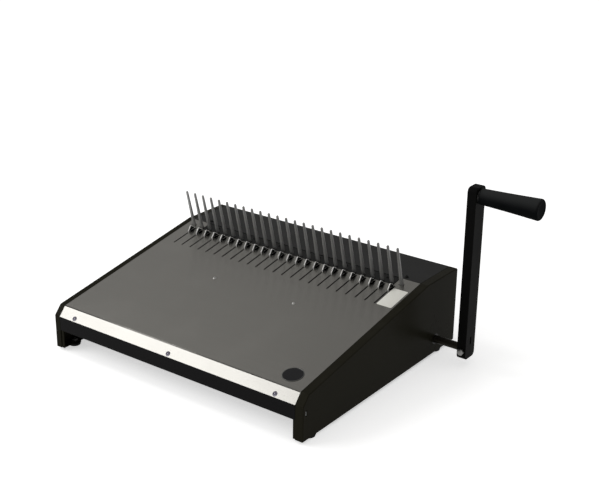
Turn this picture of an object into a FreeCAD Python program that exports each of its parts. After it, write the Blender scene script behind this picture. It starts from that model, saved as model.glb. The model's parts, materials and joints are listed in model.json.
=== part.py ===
import FreeCAD, Part
import math
import os

# Desktop opener for plastic binding combs: a steel case with a sloping stainless panel, a row of fixed tines,
# a row of hooks that slide forward in slots, and a hand lever on the right that drives them through a shaft.
# Millimetres. X runs to the right, Y to the rear, Z up. The origin is on the desk, under the case's middle.

Vector = FreeCAD.Vector

# comb row
comb_count = 24
comb_pitch = 14.2875
comb_centre = -4.8
comb_margin = 26.2

# case
body_depth = 333.4
deck_height = 105.4
deck_depth = 73.5
foot_gap = 3.8
front_cover_bottom = 28.8
strip_bottom = 47.8
front_bend_height = 59.9
front_bend_back = 10.5
cover_sheet = 1.2
side_sheet = 1.5
side_bend_radius = 1.2
corner_radius = 1.8
flange_left = 12.9
flange_right = 15.0
rear_flange = 20.0
sheet_gap = 0.5
cover_edge_left = 9.4
cover_edge_right = 11.6
rear_wall_bottom = 10.8
cover_return = 10.0

# cut-outs of the panel, along it from the foot of the tines
tines_to_deck = 13.3
tine_opening_ahead = 5.0
tine_opening_short = 26.9
window_gap = 1.7
window_length = 10.5
window_width = 5.0
slot_width = 2.0
slot_clearance = 0.5

# tines
tine_lean = 4.0
tine_reach = 55.3
tine_root = 14.0
tine_thick = 2.2
tine_base_width = 5.4
tine_tip_width = 3.0
tine_slot_margin = 0.8
tine_crown_gap = 0.4
tine_point = 1.6

# tine bar and its clamp strip, with depths below the face of the panel
tine_bar_behind = 12.3
tine_bar_end_gap = 1.0
tine_bar_depth = 16.5
clamp_top = 4.5
clamp_thick = 3.0
clamp_short = 20.0
clamp_screw_count = 5
clamp_screw_every = 5

# hooks and their carriage
hook_to_tines = 21.0
hook_thick = 1.4
hook_stem = 4.4
hook_height = 8.6
hook_crest = 6.2
hook_front = 2.6
hook_round = 1.3
hook_reach = 13.6
hook_shoulder_short = 2.2
hook_shoulder_height = 4.2
hook_tip_height = 0.4
hook_tip = 1.0
hook_under = 1.4
hook_seat = 4.0
carriage_width = 12.0
carriage_height = 8.0
carriage_depth = 9.0
carriage_screw_head = 5.6
carriage_screw_dome = 1.8
hook_travel = 30.0

# slide arms and guides
bearing_plate = 4.0
arm_sheet = 4.0
arm_gap = 4.2
guide_depth = 27.0
guide_pin = 8.0
guide_clearance = 0.3
guide_pin_spacing = 38.0
guide_pin_ahead = 9.4
guide_head = 12.0
guide_head_thick = 2.0
guide_wall = 6.0
arm_margin = 4.0
arm_notch = 6.0
arm_top_gap = 1.0

# shaft, cranks and lever
shaft_to_rear = 48.3
shaft_z = 22.6
shaft_diameter = 10.0
shaft_clearance = 0.1
end_clearance = 0.4
bush_wall = 2.0
bush_flange = 2.0
bush_flange_diameter = 20.0
washer_thick = 1.0
washer_diameter = 18.0
lever_range = 40.0
crank_sheet = 5.0
crank_gap = 1.0
crank_hub = 20.0
crank_hub_length = 16.0
crank_head = 16.0
crank_pin = 8.0
crank_pin_proud = 1.5
yoke_clearance = 0.4
yoke_lip = 2.0
lever_offset = 37.9
lever_thick = 12.4
lever_wide = 23.6
lever_below_shaft = 11.3
lever_round = 6.0
lever_edge = 0.8
lever_mark_above = 7.5
lever_mark_height = 10.0
lever_mark_width = 3.0
lever_mark_depth = 1.2
lever_wall = 2.0
bolt_diameter = 5.0
bolt_flats = 8.0
bolt_head = 3.5
bolt_washer_edge = 2.6
bolt_chamfer = 0.2
nut_thick = 4.0
bolt_end = 2.0

# grip
grip_height = 226.8
grip_length = 78.4
grip_radius_near = 9.9
grip_radius_far = 13.4
grip_round = 1.6
grip_washer = 1.0
grip_washer_diameter = 17.0
stud_diameter = 8.0
stud_in_grip = 60.0

# bearing plate outline, measured from the shaft and below the panel
plate_rear = 20.0
plate_bottom = 11.0
plate_top_gap = 5.0
plate_nose = 17.0
plate_heel = 24.0

# rails
front_rail_back = 20.0
front_rail_wide = 20.0
front_rail_up = 2.0
front_rail_height = 20.0
rail_sheet = 2.0
rear_rail_wide = 20.0
rear_rail_height = 20.0
deck_rail_wide = 18.0
deck_rail_height = 14.0
deck_rail_back = 2.5
stiffener_wide = 24.0
stiffener_height = 10.0

# feet and small fittings
foot_diameter = 17.0
foot_taper = 1.0
foot_inset = 8.6
foot_front_back = 23.0
foot_rear_front = 35.2
foot_recess = 9.0
foot_recess_depth = 2.6
foot_screw = 4.0
foot_screw_head = 7.6
foot_screw_head_thick = 1.8
foot_nut_flats = 7.0
foot_nut_thick = 3.2
cover_screw = 4.0
cover_screw_length = 7.0
strip_screw_head = 6.4
strip_screw_dome = 2.2
strip_screw_inset = 10.45
strip_screw_left_inset = 12.6
strip_screw_up = 4.0
panel_screw_head = 5.0
panel_screw_dome = 1.8
panel_screw_spacing = 128.0
panel_screw_centre = 7.45
panel_screw_to_slots = 47.2
deck_screw_head = 6.0
deck_screw_dome = 1.8
deck_screw_inset = 36.2
deck_screw_back = 7.5
rear_screw_head = 7.0
rear_screw_dome = 2.0
rear_screw_low = 35.8
rear_screw_to_deck = 19.6
plate_label_inset = 13.7
plate_label_width = 21.4
plate_label_length = 39.6
plate_label_thick = 0.4
badge_inset = 38.2
badge_up = 21.7
badge_diameter = 26.0
badge_thick = 0.5
relief_back = 4.8
relief_to_strip = 5.5
relief_height = 7.5
relief_width = 2.4
set_screw = 5.0
set_screw_length = 6.0

# case, worked out from the sizes above
comb_length = comb_count * comb_pitch
body_width = comb_length + 2 * comb_margin
half_width = body_width / 2
front_y = -body_depth / 2
rear_y = body_depth / 2
bend_y = front_y + front_bend_back
deck_front_y = rear_y - deck_depth
panel_length = math.hypot(deck_front_y - bend_y, deck_height - front_bend_height)
slope = math.asin((deck_height - front_bend_height) / panel_length)
cos_slope = math.cos(slope)
sin_slope = math.sin(slope)
panel_end = panel_length - sheet_gap
strip_length = math.hypot(front_bend_back, front_bend_height - strip_bottom)
cover_left = -half_width + cover_edge_left
cover_right = half_width - cover_edge_right
inner_face = half_width - side_sheet
rear_screw_high = deck_height - rear_screw_to_deck
relief_low = strip_bottom - relief_to_strip - relief_height
front_rail_bottom = front_cover_bottom + front_rail_up

# places up the panel, from its front bend
tine_foot = panel_length - tines_to_deck
tine_opening_start = tine_foot - tine_opening_ahead
tine_opening_end = panel_length
tine_opening_width = comb_length - tine_opening_short
tine_bar_rear = tine_foot + tine_bar_behind
window_end = tine_opening_start - window_gap
window_start = window_end - window_length
hook_start = tine_foot - hook_to_tines
slot_front = hook_start - hook_travel - slot_clearance
carriage_front = hook_start + hook_stem / 2 - carriage_width / 2
guide_pin_front = carriage_front - guide_pin_ahead
panel_screw_up = slot_front - panel_screw_to_slots
tine_bar_top = cover_sheet + side_sheet
tan_lean = math.tan(math.radians(tine_lean))
tine_half = tine_thick / 2 / math.cos(math.radians(tine_lean))

# places along the shaft and sizes of the crank
plate_face = inner_face - bearing_plate
arm_outer = plate_face - arm_gap
arm_inner = arm_outer - arm_sheet
half_turn = math.radians(lever_range / 2)
crank_radius = hook_travel / (2 * math.sin(half_turn))
shaft_y = rear_y - shaft_to_rear
lever_inner = half_width + lever_offset
lever_outer = lever_inner + lever_thick
lever_middle = (lever_inner + lever_outer) / 2
lever_top = grip_height + lever_wide / 2
lever_bottom = shaft_z - lever_below_shaft
shaft_end = lever_outer - lever_wall
hub_outer = plate_face - bush_flange - washer_thick
hub_inner = hub_outer - crank_hub_length
crank_outer = arm_inner - crank_gap
crank_inner = crank_outer - crank_sheet


def tine_x(index):
    return comb_centre + (index - comb_count / 2) * comb_pitch


def hook_x(index):
    return comb_centre + (index + 0.5 - comb_count / 2) * comb_pitch


def panel_point(up, depth, x=0.0):
    """Point at a distance up the panel from its front bend, and at a depth below the face of the panel."""
    y = bend_y + up * cos_slope + depth * sin_slope
    z = front_bend_height + up * sin_slope - depth * cos_slope
    return Vector(x, y, z)


def panel_axes(point):
    """Distance up the panel and depth below its face, for a point given as y and z."""
    y = point[0] - bend_y
    z = point[1] - front_bend_height
    return y * cos_slope + z * sin_slope, y * sin_slope - z * cos_slope


shaft_up, shaft_depth = panel_axes((shaft_y, shaft_z))


def prism(points, left, right):
    """Solid with an outline in the YZ plane, from left to right along X."""
    wire = Part.makePolygon([Vector(left, y, z) for y, z in points] + [Vector(left, *points[0])])
    return Part.Face(wire).extrude(Vector(right - left, 0, 0))


def panel_prism(points, left, right):
    """Solid whose outline is given up the panel and below its face."""
    flat = [panel_point(up, depth) for up, depth in points]
    return prism([(p.y, p.z) for p in flat], left, right)


def block(left, right, front, back, low, high):
    return Part.makeBox(right - left, back - front, high - low, Vector(left, front, low))


def rod(diameter, start, end):
    axis = end - start
    return Part.makeCylinder(diameter / 2, axis.Length, start, axis)


def x_rod(diameter, y, z, left, right):
    return rod(diameter, Vector(left, y, z), Vector(right, y, z))


def inward(path, distance):
    """The path of a bent sheet, moved inwards by a distance, with mitred corners."""
    lines = []
    for (y0, z0), (y1, z1) in zip(path, path[1:]):
        length = math.hypot(y1 - y0, z1 - z0)
        dy, dz = (y1 - y0) / length, (z1 - z0) / length
        lines.append((y0 + dz * distance, z0 - dy * distance, dy, dz))
    moved = [lines[0][:2]]
    for (ay, az, ady, adz), (by, bz, bdy, bdz) in zip(lines, lines[1:]):
        along = ((by - ay) * bdz - (bz - az) * bdy) / (ady * bdz - adz * bdy)
        moved.append((ay + along * ady, az + along * adz))
    last_y, last_z, dy, dz = lines[-1]
    length = math.hypot(path[-1][0] - path[-2][0], path[-1][1] - path[-2][1])
    moved.append((last_y + dy * length, last_z + dz * length))
    return moved


def sheet(path, thick, left, right):
    """Bent sheet with its outer face on the path."""
    return prism(path + inward(path, thick)[::-1], left, right)


def bend(solid, path, thick, radius):
    """Sheet with its bends rounded: the inside of each bend to a radius, the outside to the same centre."""
    def along(point):
        return [edge for edge in solid.Edges if len(edge.Vertexes) == 2
                and all(math.hypot(v.Y - point[0], v.Z - point[1]) < 1e-5 for v in edge.Vertexes)]
    for outer, inner in zip(path[1:-1], inward(path, thick)[1:-1]):
        solid = solid.makeFillet(radius + thick, along(outer))
        solid = solid.makeFillet(radius, along(inner))
    return solid


def round_corners(solid, radius):
    """Outline with its corners rounded, except those along the bottom."""
    edges = [edge for edge in solid.Edges if abs(edge.Vertexes[0].X - edge.Vertexes[1].X) > 1e-6
             and edge.Vertexes[0].Z > front_cover_bottom]
    return solid.makeFillet(radius, edges)


def outer_path(bottom):
    """Outside of the case in the YZ plane, from the front's bottom over the top to the rear's bottom."""
    return [(front_y, bottom), (front_y, strip_bottom), (bend_y, front_bend_height),
            (deck_front_y, deck_height), (rear_y, deck_height), (rear_y, bottom)]


def mirror_x(shape):
    return shape.mirror(Vector(0, 0, 0), Vector(1, 0, 0))


def hexagon(flats, thick, centre, direction):
    """Hexagonal prism from the centre of its base along a direction, with two flats upright."""
    axis = Vector(direction)
    axis.normalize()
    side = axis.cross(Vector(0, 0, 1))
    if side.Length < 0.1:
        side = Vector(1, 0, 0)
    side.normalize()
    up = side.cross(axis)
    radius = flats / math.sqrt(3)
    corners = []
    for step in range(7):
        angle = math.radians(30 + 60 * step)
        corners.append(centre + side * (radius * math.cos(angle)) + up * (radius * math.sin(angle)))
    return Part.Face(Part.makePolygon(corners)).extrude(axis * thick)


def round_screw(seat, direction, head, dome, thread, length):
    """Screw with a low domed head on its seat. Direction points from the seat out of the sheet."""
    sphere_radius = (head * head / 4 + dome * dome) / (2 * dome)
    ball = Part.makeSphere(sphere_radius, Vector(0, 0, dome - sphere_radius))
    above = Part.makeCylinder(head, 2 * dome)
    arm = Part.makeBox(head * 0.55, head * 0.12, dome, Vector(-head * 0.275, -head * 0.06, dome / 2))
    cross = arm.fuse(arm.rotated(Vector(0, 0, 0), Vector(0, 0, 1), 90))
    shank = Part.makeCylinder(thread / 2, length, Vector(0, 0, -length))
    screw = ball.common(above).cut(cross).fuse(shank).removeSplitter()
    screw.Placement = FreeCAD.Placement(seat, FreeCAD.Rotation(Vector(0, 0, 1), Vector(direction)))
    return screw


# case pieces
def outline(depth, bottom, left, right):
    """Section of the case at a depth inside its outer faces, with its corners on the centres of the bends."""
    path = inward(outer_path(bottom), depth) if depth else outer_path(bottom)
    path[0] = (path[0][0], bottom)
    path[-1] = (path[-1][0], bottom)
    return round_corners(prism(path, left, right), corner_radius + cover_sheet - depth)


def side_plate(flange, cover_edge):
    """Right-hand side plate: a flat web with its edges turned inwards, stepped in below the covers."""
    left = half_width - rear_flange
    step = half_width - cover_edge + sheet_gap
    floor = foot_gap + side_sheet
    solid = outline(0, foot_gap, step, half_width)
    rim = [edge for edge in solid.Edges
           if all(abs(v.X - half_width) < 1e-6 for v in edge.Vertexes)]
    solid = solid.makeFillet(side_bend_radius, rim)
    solid = solid.fuse(outline(cover_sheet, foot_gap, left, step))
    solid = solid.cut(outline(side_sheet, floor, step + side_sheet, inner_face))
    solid = solid.cut(outline(cover_sheet + side_sheet, floor, left - 1, step + side_sheet))
    shorten = block(left - 1, half_width - flange, front_y - 1, rear_y - cover_sheet - side_sheet,
                    foot_gap - 1, deck_height + 1)
    slit = block(inner_face - 1, half_width + 1, front_y + relief_back, front_y + relief_back + relief_width,
                 relief_low, relief_low + relief_height)
    return solid.cut(shorten).cut(slit).removeSplitter()


def foot_places():
    x = half_width - foot_inset
    return [(side * x, y) for side in (-1, 1) for y in (front_y + foot_front_back, rear_y - foot_rear_front)]


def side_plates():
    right = side_plate(flange_right, cover_edge_right)
    left = mirror_x(side_plate(flange_left, cover_edge_left))
    shaft_hole = x_rod(shaft_diameter + 2 * (shaft_clearance + bush_wall), shaft_y, shaft_z,
                       inner_face - 1, half_width + 1)
    right = right.cut(shaft_hole)
    for x, y in foot_places():
        hole = rod(foot_screw, Vector(x, y, 0), Vector(x, y, foot_gap + side_sheet + 1))
        right = right.cut(hole)
        left = left.cut(hole)
    for screw in rear_screw_places():
        hole = rod(cover_screw, screw + Vector(0, 1, 0), screw - Vector(0, cover_screw_length, 0))
        right = right.cut(hole)
        left = left.cut(hole)
    return left, right


def strip_axis():
    """Bottom of the front strip, the direction up it and the direction out of it."""
    base = Vector(0, front_y, strip_bottom)
    up = Vector(0, front_bend_back, front_bend_height - strip_bottom)
    up.normalize()
    return base, up, Vector(0, -up.z, up.y)


def strip_screw_places():
    base, up, _ = strip_axis()
    offsets = (strip_screw_left_inset - comb_length / 2, 0, comb_length / 2 - strip_screw_inset)
    return [base + up * strip_screw_up + Vector(comb_centre + offset, 0, 0) for offset in offsets]


def panel_screw_places():
    return [panel_point(panel_screw_up, 0, panel_screw_centre + k * panel_screw_spacing / 2) for k in (-1, 1)]


def deck_screw_places():
    x = half_width - deck_screw_inset
    return [Vector(side * x, deck_front_y + deck_screw_back, deck_height) for side in (-1, 1)]


def rear_screw_places():
    left = -half_width + (cover_edge_left + rear_flange) / 2
    right = half_width - (cover_edge_right + rear_flange) / 2
    return [Vector(x, rear_y, z) for x in (left, right) for z in (rear_screw_low, rear_screw_high)]


def front_cover():
    """Black cover below the strip. Its top edge turns back under the strip, its bottom edge inwards."""
    (y0, z0), (y1, z1), _ = inward(outer_path(strip_bottom)[1:4], cover_sheet)
    corner_z = z0 + (front_y - y0) * (z1 - z0) / (y1 - y0)
    stop = corner_radius / strip_length
    y1, z1 = y1 - stop * (y1 - y0), z1 - stop * (z1 - z0)
    web = sheet([(front_y, front_cover_bottom), (front_y, corner_z), (y1, z1)], cover_sheet,
                -half_width + flange_left + sheet_gap, half_width - flange_right - sheet_gap)
    lap = block(cover_left, cover_right, front_y, front_y + cover_sheet, front_cover_bottom, corner_z)
    foot = block(-half_width + flange_left + sheet_gap, half_width - flange_right - sheet_gap,
                 front_y, front_y + cover_return, front_cover_bottom, front_cover_bottom + cover_sheet)
    cover = web.fuse(lap).fuse(foot).removeSplitter()
    out = strip_axis()[2]
    for place in strip_screw_places():
        cover = cover.cut(rod(cover_screw, place + out, place - out * cover_screw_length))
    return cover


def comb_slots():
    """Cutters of the panel: a slot and a wider window for each hook, and the notch for the tines."""
    cutters = []
    for index in range(comb_count):
        x = hook_x(index)
        start = slot_front + slot_width / 2
        cutters.append(panel_prism([(start, -2), (window_start + 1, -2), (window_start + 1, 4), (start, 4)],
                                   x - slot_width / 2, x + slot_width / 2))
        cutters.append(rod(slot_width, panel_point(start, -2, x), panel_point(start, 4, x)))
        cutters.append(panel_prism([(window_start, -2), (window_end, -2), (window_end, 4), (window_start, 4)],
                                   x - window_width / 2, x + window_width / 2))
    half = tine_opening_width / 2
    cutters.append(panel_prism([(tine_opening_start, -2), (tine_opening_end, -2), (tine_opening_end, 4),
                                (tine_opening_start, 4)], -half, half))
    for index in range(comb_count + 1):
        x = tine_x(index)
        if abs(x) > half:
            wide = tine_base_width / 2 + tine_slot_margin
            front = tine_foot - tine_half - tine_slot_margin
            back = tine_foot + tine_half + tine_slot_margin
            cutters.append(panel_prism([(front, -2), (back, -2), (back, 4), (front, 4)], x - wide, x + wide))
    return cutters


def top_panel():
    end = panel_point(panel_end, 0)
    path = [(front_y, strip_bottom), (bend_y, front_bend_height), (end.y, end.z)]
    panel = bend(sheet(path, cover_sheet, cover_left, cover_right), path, cover_sheet, corner_radius)
    panel = panel.cut(Part.makeCompound(comb_slots()))
    out = strip_axis()[2]
    for place in strip_screw_places():
        panel = panel.cut(rod(cover_screw, place + out, place - out * 3))
    for place in panel_screw_places():
        normal = Vector(0, -sin_slope, cos_slope)
        panel = panel.cut(rod(cover_screw, place + normal, place - normal * 3))
    return panel.removeSplitter()


def rear_cover():
    front = deck_front_y + sheet_gap / 2
    path = [(front, deck_height), (rear_y, deck_height), (rear_y, rear_wall_bottom)]
    cover = bend(sheet(path, cover_sheet, cover_left, cover_right), path, cover_sheet, corner_radius)
    for place in deck_screw_places():
        cover = cover.cut(rod(cover_screw, place + Vector(0, 0, 1), place - Vector(0, 0, 3)))
    for place in rear_screw_places():
        cover = cover.cut(rod(cover_screw, place + Vector(0, 1, 0), place - Vector(0, 3, 0)))
    return cover.removeSplitter()


# rails
def front_rail():
    front = front_y + front_rail_back
    rail = block(-inner_face, inner_face, front, front + front_rail_wide,
                 front_rail_bottom, front_rail_bottom + front_rail_height)
    inside = block(-inner_face - 1, inner_face + 1, front + rail_sheet, front + front_rail_wide - rail_sheet,
                   front_rail_bottom - 1, front_rail_bottom + front_rail_height - rail_sheet)
    return rail.cut(inside)


def rear_rail():
    back = rear_y - cover_sheet - side_sheet
    low = foot_gap + side_sheet
    rail = block(-inner_face, inner_face, back - rear_rail_wide, back, low, low + rear_rail_height)
    inside = block(-inner_face - 1, inner_face + 1, back - rear_rail_wide + rail_sheet, back - rail_sheet,
                   low - 1, low + rear_rail_height - rail_sheet)
    return rail.cut(inside)


def deck_rail():
    """Angle under the front edge of the deck. Its upright leg runs on to the bearing plates."""
    front = deck_front_y + deck_rail_back
    top = deck_height - cover_sheet
    flat = block(-half_width + rear_flange, half_width - rear_flange, front, front + deck_rail_wide,
                 top - rail_sheet, top)
    leg = block(-plate_face, plate_face, front + deck_rail_wide - rail_sheet, front + deck_rail_wide,
                top - deck_rail_height, top - rail_sheet)
    rail = flat.fuse(leg).removeSplitter()
    for place in deck_screw_places():
        rail = rail.cut(rod(cover_screw, place + Vector(0, 0, 1), place - Vector(0, 0, cover_screw_length)))
    return rail


def panel_stiffener():
    """Channel under the middle of the panel, between the flanges of the side plates."""
    left = -half_width + flange_left + sheet_gap
    right = half_width - flange_right - sheet_gap
    front = panel_screw_up - stiffener_wide / 2
    back = panel_screw_up + stiffener_wide / 2
    top = cover_sheet
    low = top + stiffener_height
    channel = panel_prism([(front, top), (back, top), (back, low), (front, low)], left, right)
    front, back, top = front + rail_sheet, back - rail_sheet, top + rail_sheet
    inside = [(front, top), (back, top), (back, low + 1), (front, low + 1)]
    channel = channel.cut(panel_prism(inside, left - 1, right + 1))
    normal = Vector(0, -sin_slope, cos_slope)
    for place in panel_screw_places():
        channel = channel.cut(rod(cover_screw, place + normal, place - normal * cover_screw_length))
    return channel


# tines
def tine():
    """One tine at X = 0, leaning forward from the panel's square. It narrows upwards to a blunt point."""
    turned = math.radians(tine_lean)
    half_base = tine_base_width / 2
    half_tip = tine_tip_width / 2
    shoulder = tine_reach - tine_point
    outline = [(-half_base, -tine_root), (half_base, -tine_root), (half_base, 0), (half_tip, shoulder),
               (0, tine_reach), (-half_tip, shoulder), (-half_base, 0)]
    wire = Part.makePolygon([Vector(x, -tine_thick / 2, z) for x, z in outline + outline[:1]])
    plate = Part.Face(wire).extrude(Vector(0, tine_thick, 0))
    plate.rotate(Vector(0, 0, 0), Vector(1, 0, 0), math.degrees(turned + slope))
    plate.translate(panel_point(tine_foot, 0))
    return plate


def comb_tines():
    one = tine()
    return Part.makeCompound([one.translated(Vector(tine_x(index), 0, 0)) for index in range(comb_count + 1)])


def tine_bar_outline():
    top, low = tine_bar_top, tine_bar_depth
    return [(tine_foot + tine_half + top * tan_lean, top), (tine_bar_rear, top),
            (tine_bar_rear, low), (tine_foot + tine_half + low * tan_lean, low)]


def tine_bar_crown():
    """The bar's middle part, which fills the notch of the panel to its face, with a gap round each tine."""
    half = tine_opening_width / 2 - tine_bar_end_gap
    low = tine_bar_top + 1
    front = tine_opening_start + tine_crown_gap
    behind = tine_foot + tine_half + low * tan_lean
    outline = [(front, 0), (tine_bar_rear, 0), (tine_bar_rear, low), (behind, low), (behind, tine_bar_top),
               (front, tine_bar_top)]
    crown = panel_prism(outline, -half, half)
    wide = tine_base_width / 2 + tine_crown_gap
    face = tine_foot - tine_half - tine_crown_gap
    back = tine_foot + tine_half
    gaps = []
    for index in range(comb_count + 1):
        x = tine_x(index)
        gaps.append(panel_prism([(face, -1), (back - tan_lean, -1), (back + (low + 1) * tan_lean, low + 1),
                                 (face, low + 1)], x - wide, x + wide))
    return crown.cut(Part.makeCompound(gaps))


def clamp_outline():
    top, low = clamp_top, tine_bar_depth
    face = tine_foot - tine_half
    return [(face - clamp_thick + top * tan_lean, top), (face + top * tan_lean, top),
            (face + low * tan_lean, low), (face - clamp_thick + low * tan_lean, low)]


def clamp_screw_axis(index):
    """Seat of a clamp screw on the front face of the clamp strip, and the direction out of it."""
    depth = (clamp_top + tine_bar_depth) / 2
    up = tine_foot - tine_half - clamp_thick + depth * tan_lean
    x = hook_x(comb_count // 2 + (index - clamp_screw_count // 2) * clamp_screw_every)
    turned = math.radians(tine_lean) + slope
    return panel_point(up, depth, x), Vector(0, -math.cos(turned), -math.sin(turned))


def tine_holder():
    bar = panel_prism(tine_bar_outline(), -inner_face, inner_face)
    bar = bar.fuse(tine_bar_crown()).removeSplitter()
    clamp = panel_prism(clamp_outline(), -half_width + clamp_short, half_width - clamp_short)
    screws = []
    length = clamp_thick + tine_thick + cover_screw_length
    for index in range(clamp_screw_count):
        seat, out = clamp_screw_axis(index)
        bar = bar.cut(rod(cover_screw, seat + out, seat - out * length))
        clamp = clamp.cut(rod(cover_screw, seat + out, seat - out * (clamp_thick + 1)))
        screws.append(round_screw(seat, out, strip_screw_head, strip_screw_dome, cover_screw, length))
    return bar, clamp, Part.makeCompound(screws)


# hooks and carriage
def hook():
    """One hook at X = 0: a stem in the slot, a fin that rises to the crest, and a tip that points back."""
    root = -(carriage_depth + hook_seat)
    outline = [(0, root), (0, hook_front), (hook_crest, hook_height),
               (hook_reach - hook_shoulder_short, hook_shoulder_height), (hook_reach, hook_tip_height),
               (hook_reach - hook_tip, hook_tip_height), (hook_stem, hook_under), (hook_stem, root)]
    fin = panel_prism([(hook_start + up, -out) for up, out in outline], -hook_thick / 2, hook_thick / 2)
    crest = panel_point(hook_start + hook_crest, -hook_height)
    edges = [edge for edge in fin.Edges
             if all(math.hypot(v.Y - crest.y, v.Z - crest.z) < 1e-5 for v in edge.Vertexes)]
    return fin.makeFillet(hook_round, edges)


def comb_hooks():
    one = hook()
    return Part.makeCompound([one.translated(Vector(hook_x(index), 0, 0)) for index in range(comb_count)])


def carriage_bar():
    """Bar under the panel with a saw cut for the root of each hook."""
    top, low = carriage_depth, carriage_depth + carriage_height
    back = carriage_front + carriage_width
    bar = panel_prism([(carriage_front, top), (back, top), (back, low), (carriage_front, low)],
                      -arm_inner, arm_inner)
    seats = []
    for index in range(comb_count):
        x = hook_x(index)
        seats.append(panel_prism([(hook_start, top - 1), (hook_start + hook_stem, top - 1),
                                  (hook_start + hook_stem, top + hook_seat), (hook_start, top + hook_seat)],
                                 x - hook_thick / 2, x + hook_thick / 2))
    bar = bar.cut(Part.makeCompound(seats))
    holes = [carriage_screw(side, place, True) for side, place in carriage_screw_places()]
    return bar.cut(Part.makeCompound(holes))


def carriage_screw_places():
    depth = carriage_depth + carriage_height / 2
    places = [(carriage_front + carriage_width * share, depth) for share in (0.25, 0.75)]
    return [(side, place) for side in (-1, 1) for place in places]


def carriage_screw(side, place, hole=False):
    """Screw through a slide arm into the end of the carriage bar."""
    point = panel_point(place[0], place[1])
    seat = Vector(side * arm_outer, point.y, point.z)
    if hole:
        length = arm_sheet + cover_screw_length
        return rod(cover_screw, seat + Vector(side, 0, 0), seat - Vector(side * length, 0, 0))
    return round_screw(seat, Vector(side, 0, 0), carriage_screw_head, carriage_screw_dome, cover_screw,
                       arm_sheet + cover_screw_length)


def carriage_screws():
    return Part.makeCompound([carriage_screw(side, place) for side, place in carriage_screw_places()])


def crank_pin_at(turn):
    """Centre of the crank pin when the crank stands at an angle from the panel's square, forward positive."""
    up = shaft_up - crank_radius * math.sin(turn)
    depth = shaft_depth - crank_radius * math.cos(turn)
    return up, depth


def guide_pin_places():
    return [(guide_pin_front, guide_depth), (guide_pin_front + guide_pin_spacing, guide_depth)]


def slide_arm():
    """Right-hand slide arm: it holds the carriage bar and the guide pins. Its yoke takes the crank pin."""
    pin_up, pin_depth = crank_pin_at(-half_turn)
    highest = shaft_depth - crank_radius
    yoke_half = crank_pin / 2 + yoke_clearance
    front = guide_pin_front - guide_pin / 2 - arm_margin
    top = carriage_depth - arm_top_gap
    low = guide_depth + guide_pin / 2 + arm_margin
    neck = guide_depth - guide_pin / 2 - arm_margin
    neck_back = guide_pin_front + guide_pin_spacing + guide_pin / 2
    yoke_front = pin_up - yoke_half - arm_margin - yoke_lip
    yoke_back = pin_up + yoke_half + arm_margin
    yoke_low = pin_depth + yoke_half + arm_margin
    yoke_top = highest - yoke_half - arm_margin
    step = carriage_front + carriage_width + arm_margin
    points = [(front, top), (step, top), (step, neck), (neck_back, neck), (yoke_back, yoke_top),
              (yoke_back, yoke_low), (yoke_front, yoke_low), (neck_back - arm_notch, low), (front, low)]
    arm = panel_prism(points, arm_inner, arm_outer)
    slot_top, slot_low = highest - crank_pin / 2, pin_depth + crank_pin / 2
    corners = [(pin_up - yoke_half, slot_top), (pin_up + yoke_half, slot_top),
               (pin_up + yoke_half, slot_low), (pin_up - yoke_half, slot_low)]
    slot = panel_prism(corners, arm_inner - 1, arm_outer + 1)
    arm = arm.cut(slot)
    for depth in (highest, pin_depth):
        end = panel_point(pin_up, depth)
        arm = arm.cut(x_rod(2 * yoke_half, end.y, end.z, arm_inner - 1, arm_outer + 1))
    for up, depth in guide_pin_places():
        point = panel_point(up, depth)
        arm = arm.cut(x_rod(guide_pin, point.y, point.z, arm_inner - 1, arm_outer + 1))
    for side, place in carriage_screw_places():
        if side > 0:
            arm = arm.cut(carriage_screw(side, place, True))
    return arm.removeSplitter()


def guide_pins():
    pins = []
    for up, depth in guide_pin_places():
        point = panel_point(up, depth)
        pin = x_rod(guide_pin, point.y, point.z, arm_inner - guide_head_thick, inner_face - end_clearance)
        head = x_rod(guide_head, point.y, point.z, arm_inner - guide_head_thick, arm_inner)
        pin = pin.fuse(head).removeSplitter()
        pins += [pin, mirror_x(pin)]
    return Part.makeCompound(pins)


# bearing plates, shaft and cranks
def bearing_plate_right():
    """Plate on the side plate's inner face: the bush hole, the guide slot and the seat of the tine bar."""
    width = guide_pin + 2 * guide_clearance
    ends = [guide_pin_front - hook_travel, guide_pin_front + guide_pin_spacing]
    front = panel_point(ends[0] - width / 2 - guide_wall, guide_depth).y
    front_top = front_bend_height + (front - bend_y) * math.tan(slope) - plate_top_gap / cos_slope
    deck_under = deck_height - cover_sheet - side_sheet - sheet_gap
    rear_top_y = bend_y + (deck_under - front_bend_height + plate_top_gap / cos_slope) / math.tan(slope)
    back = shaft_y + plate_rear
    low = shaft_z - plate_bottom
    points = [(front, front_top), (rear_top_y, deck_under), (back, deck_under), (back, low),
              (shaft_y - plate_heel, low), (front, front_top - guide_depth - plate_nose)]
    plate = prism(points, plate_face, inner_face)
    plate = plate.cut(panel_prism(tine_bar_outline(), plate_face - 1, inner_face + 1))
    plate = plate.cut(panel_prism([(ends[0], guide_depth - width / 2), (ends[1], guide_depth - width / 2),
                                   (ends[1], guide_depth + width / 2), (ends[0], guide_depth + width / 2)],
                                  plate_face - 1, inner_face + 1))
    for up in ends:
        point = panel_point(up, guide_depth)
        plate = plate.cut(x_rod(width, point.y, point.z, plate_face - 1, inner_face + 1))
    bush_bore = shaft_diameter + 2 * (shaft_clearance + bush_wall)
    hole = x_rod(bush_bore, shaft_y, shaft_z, plate_face - 1, inner_face + 1)
    return plate.cut(hole).removeSplitter()


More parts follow.
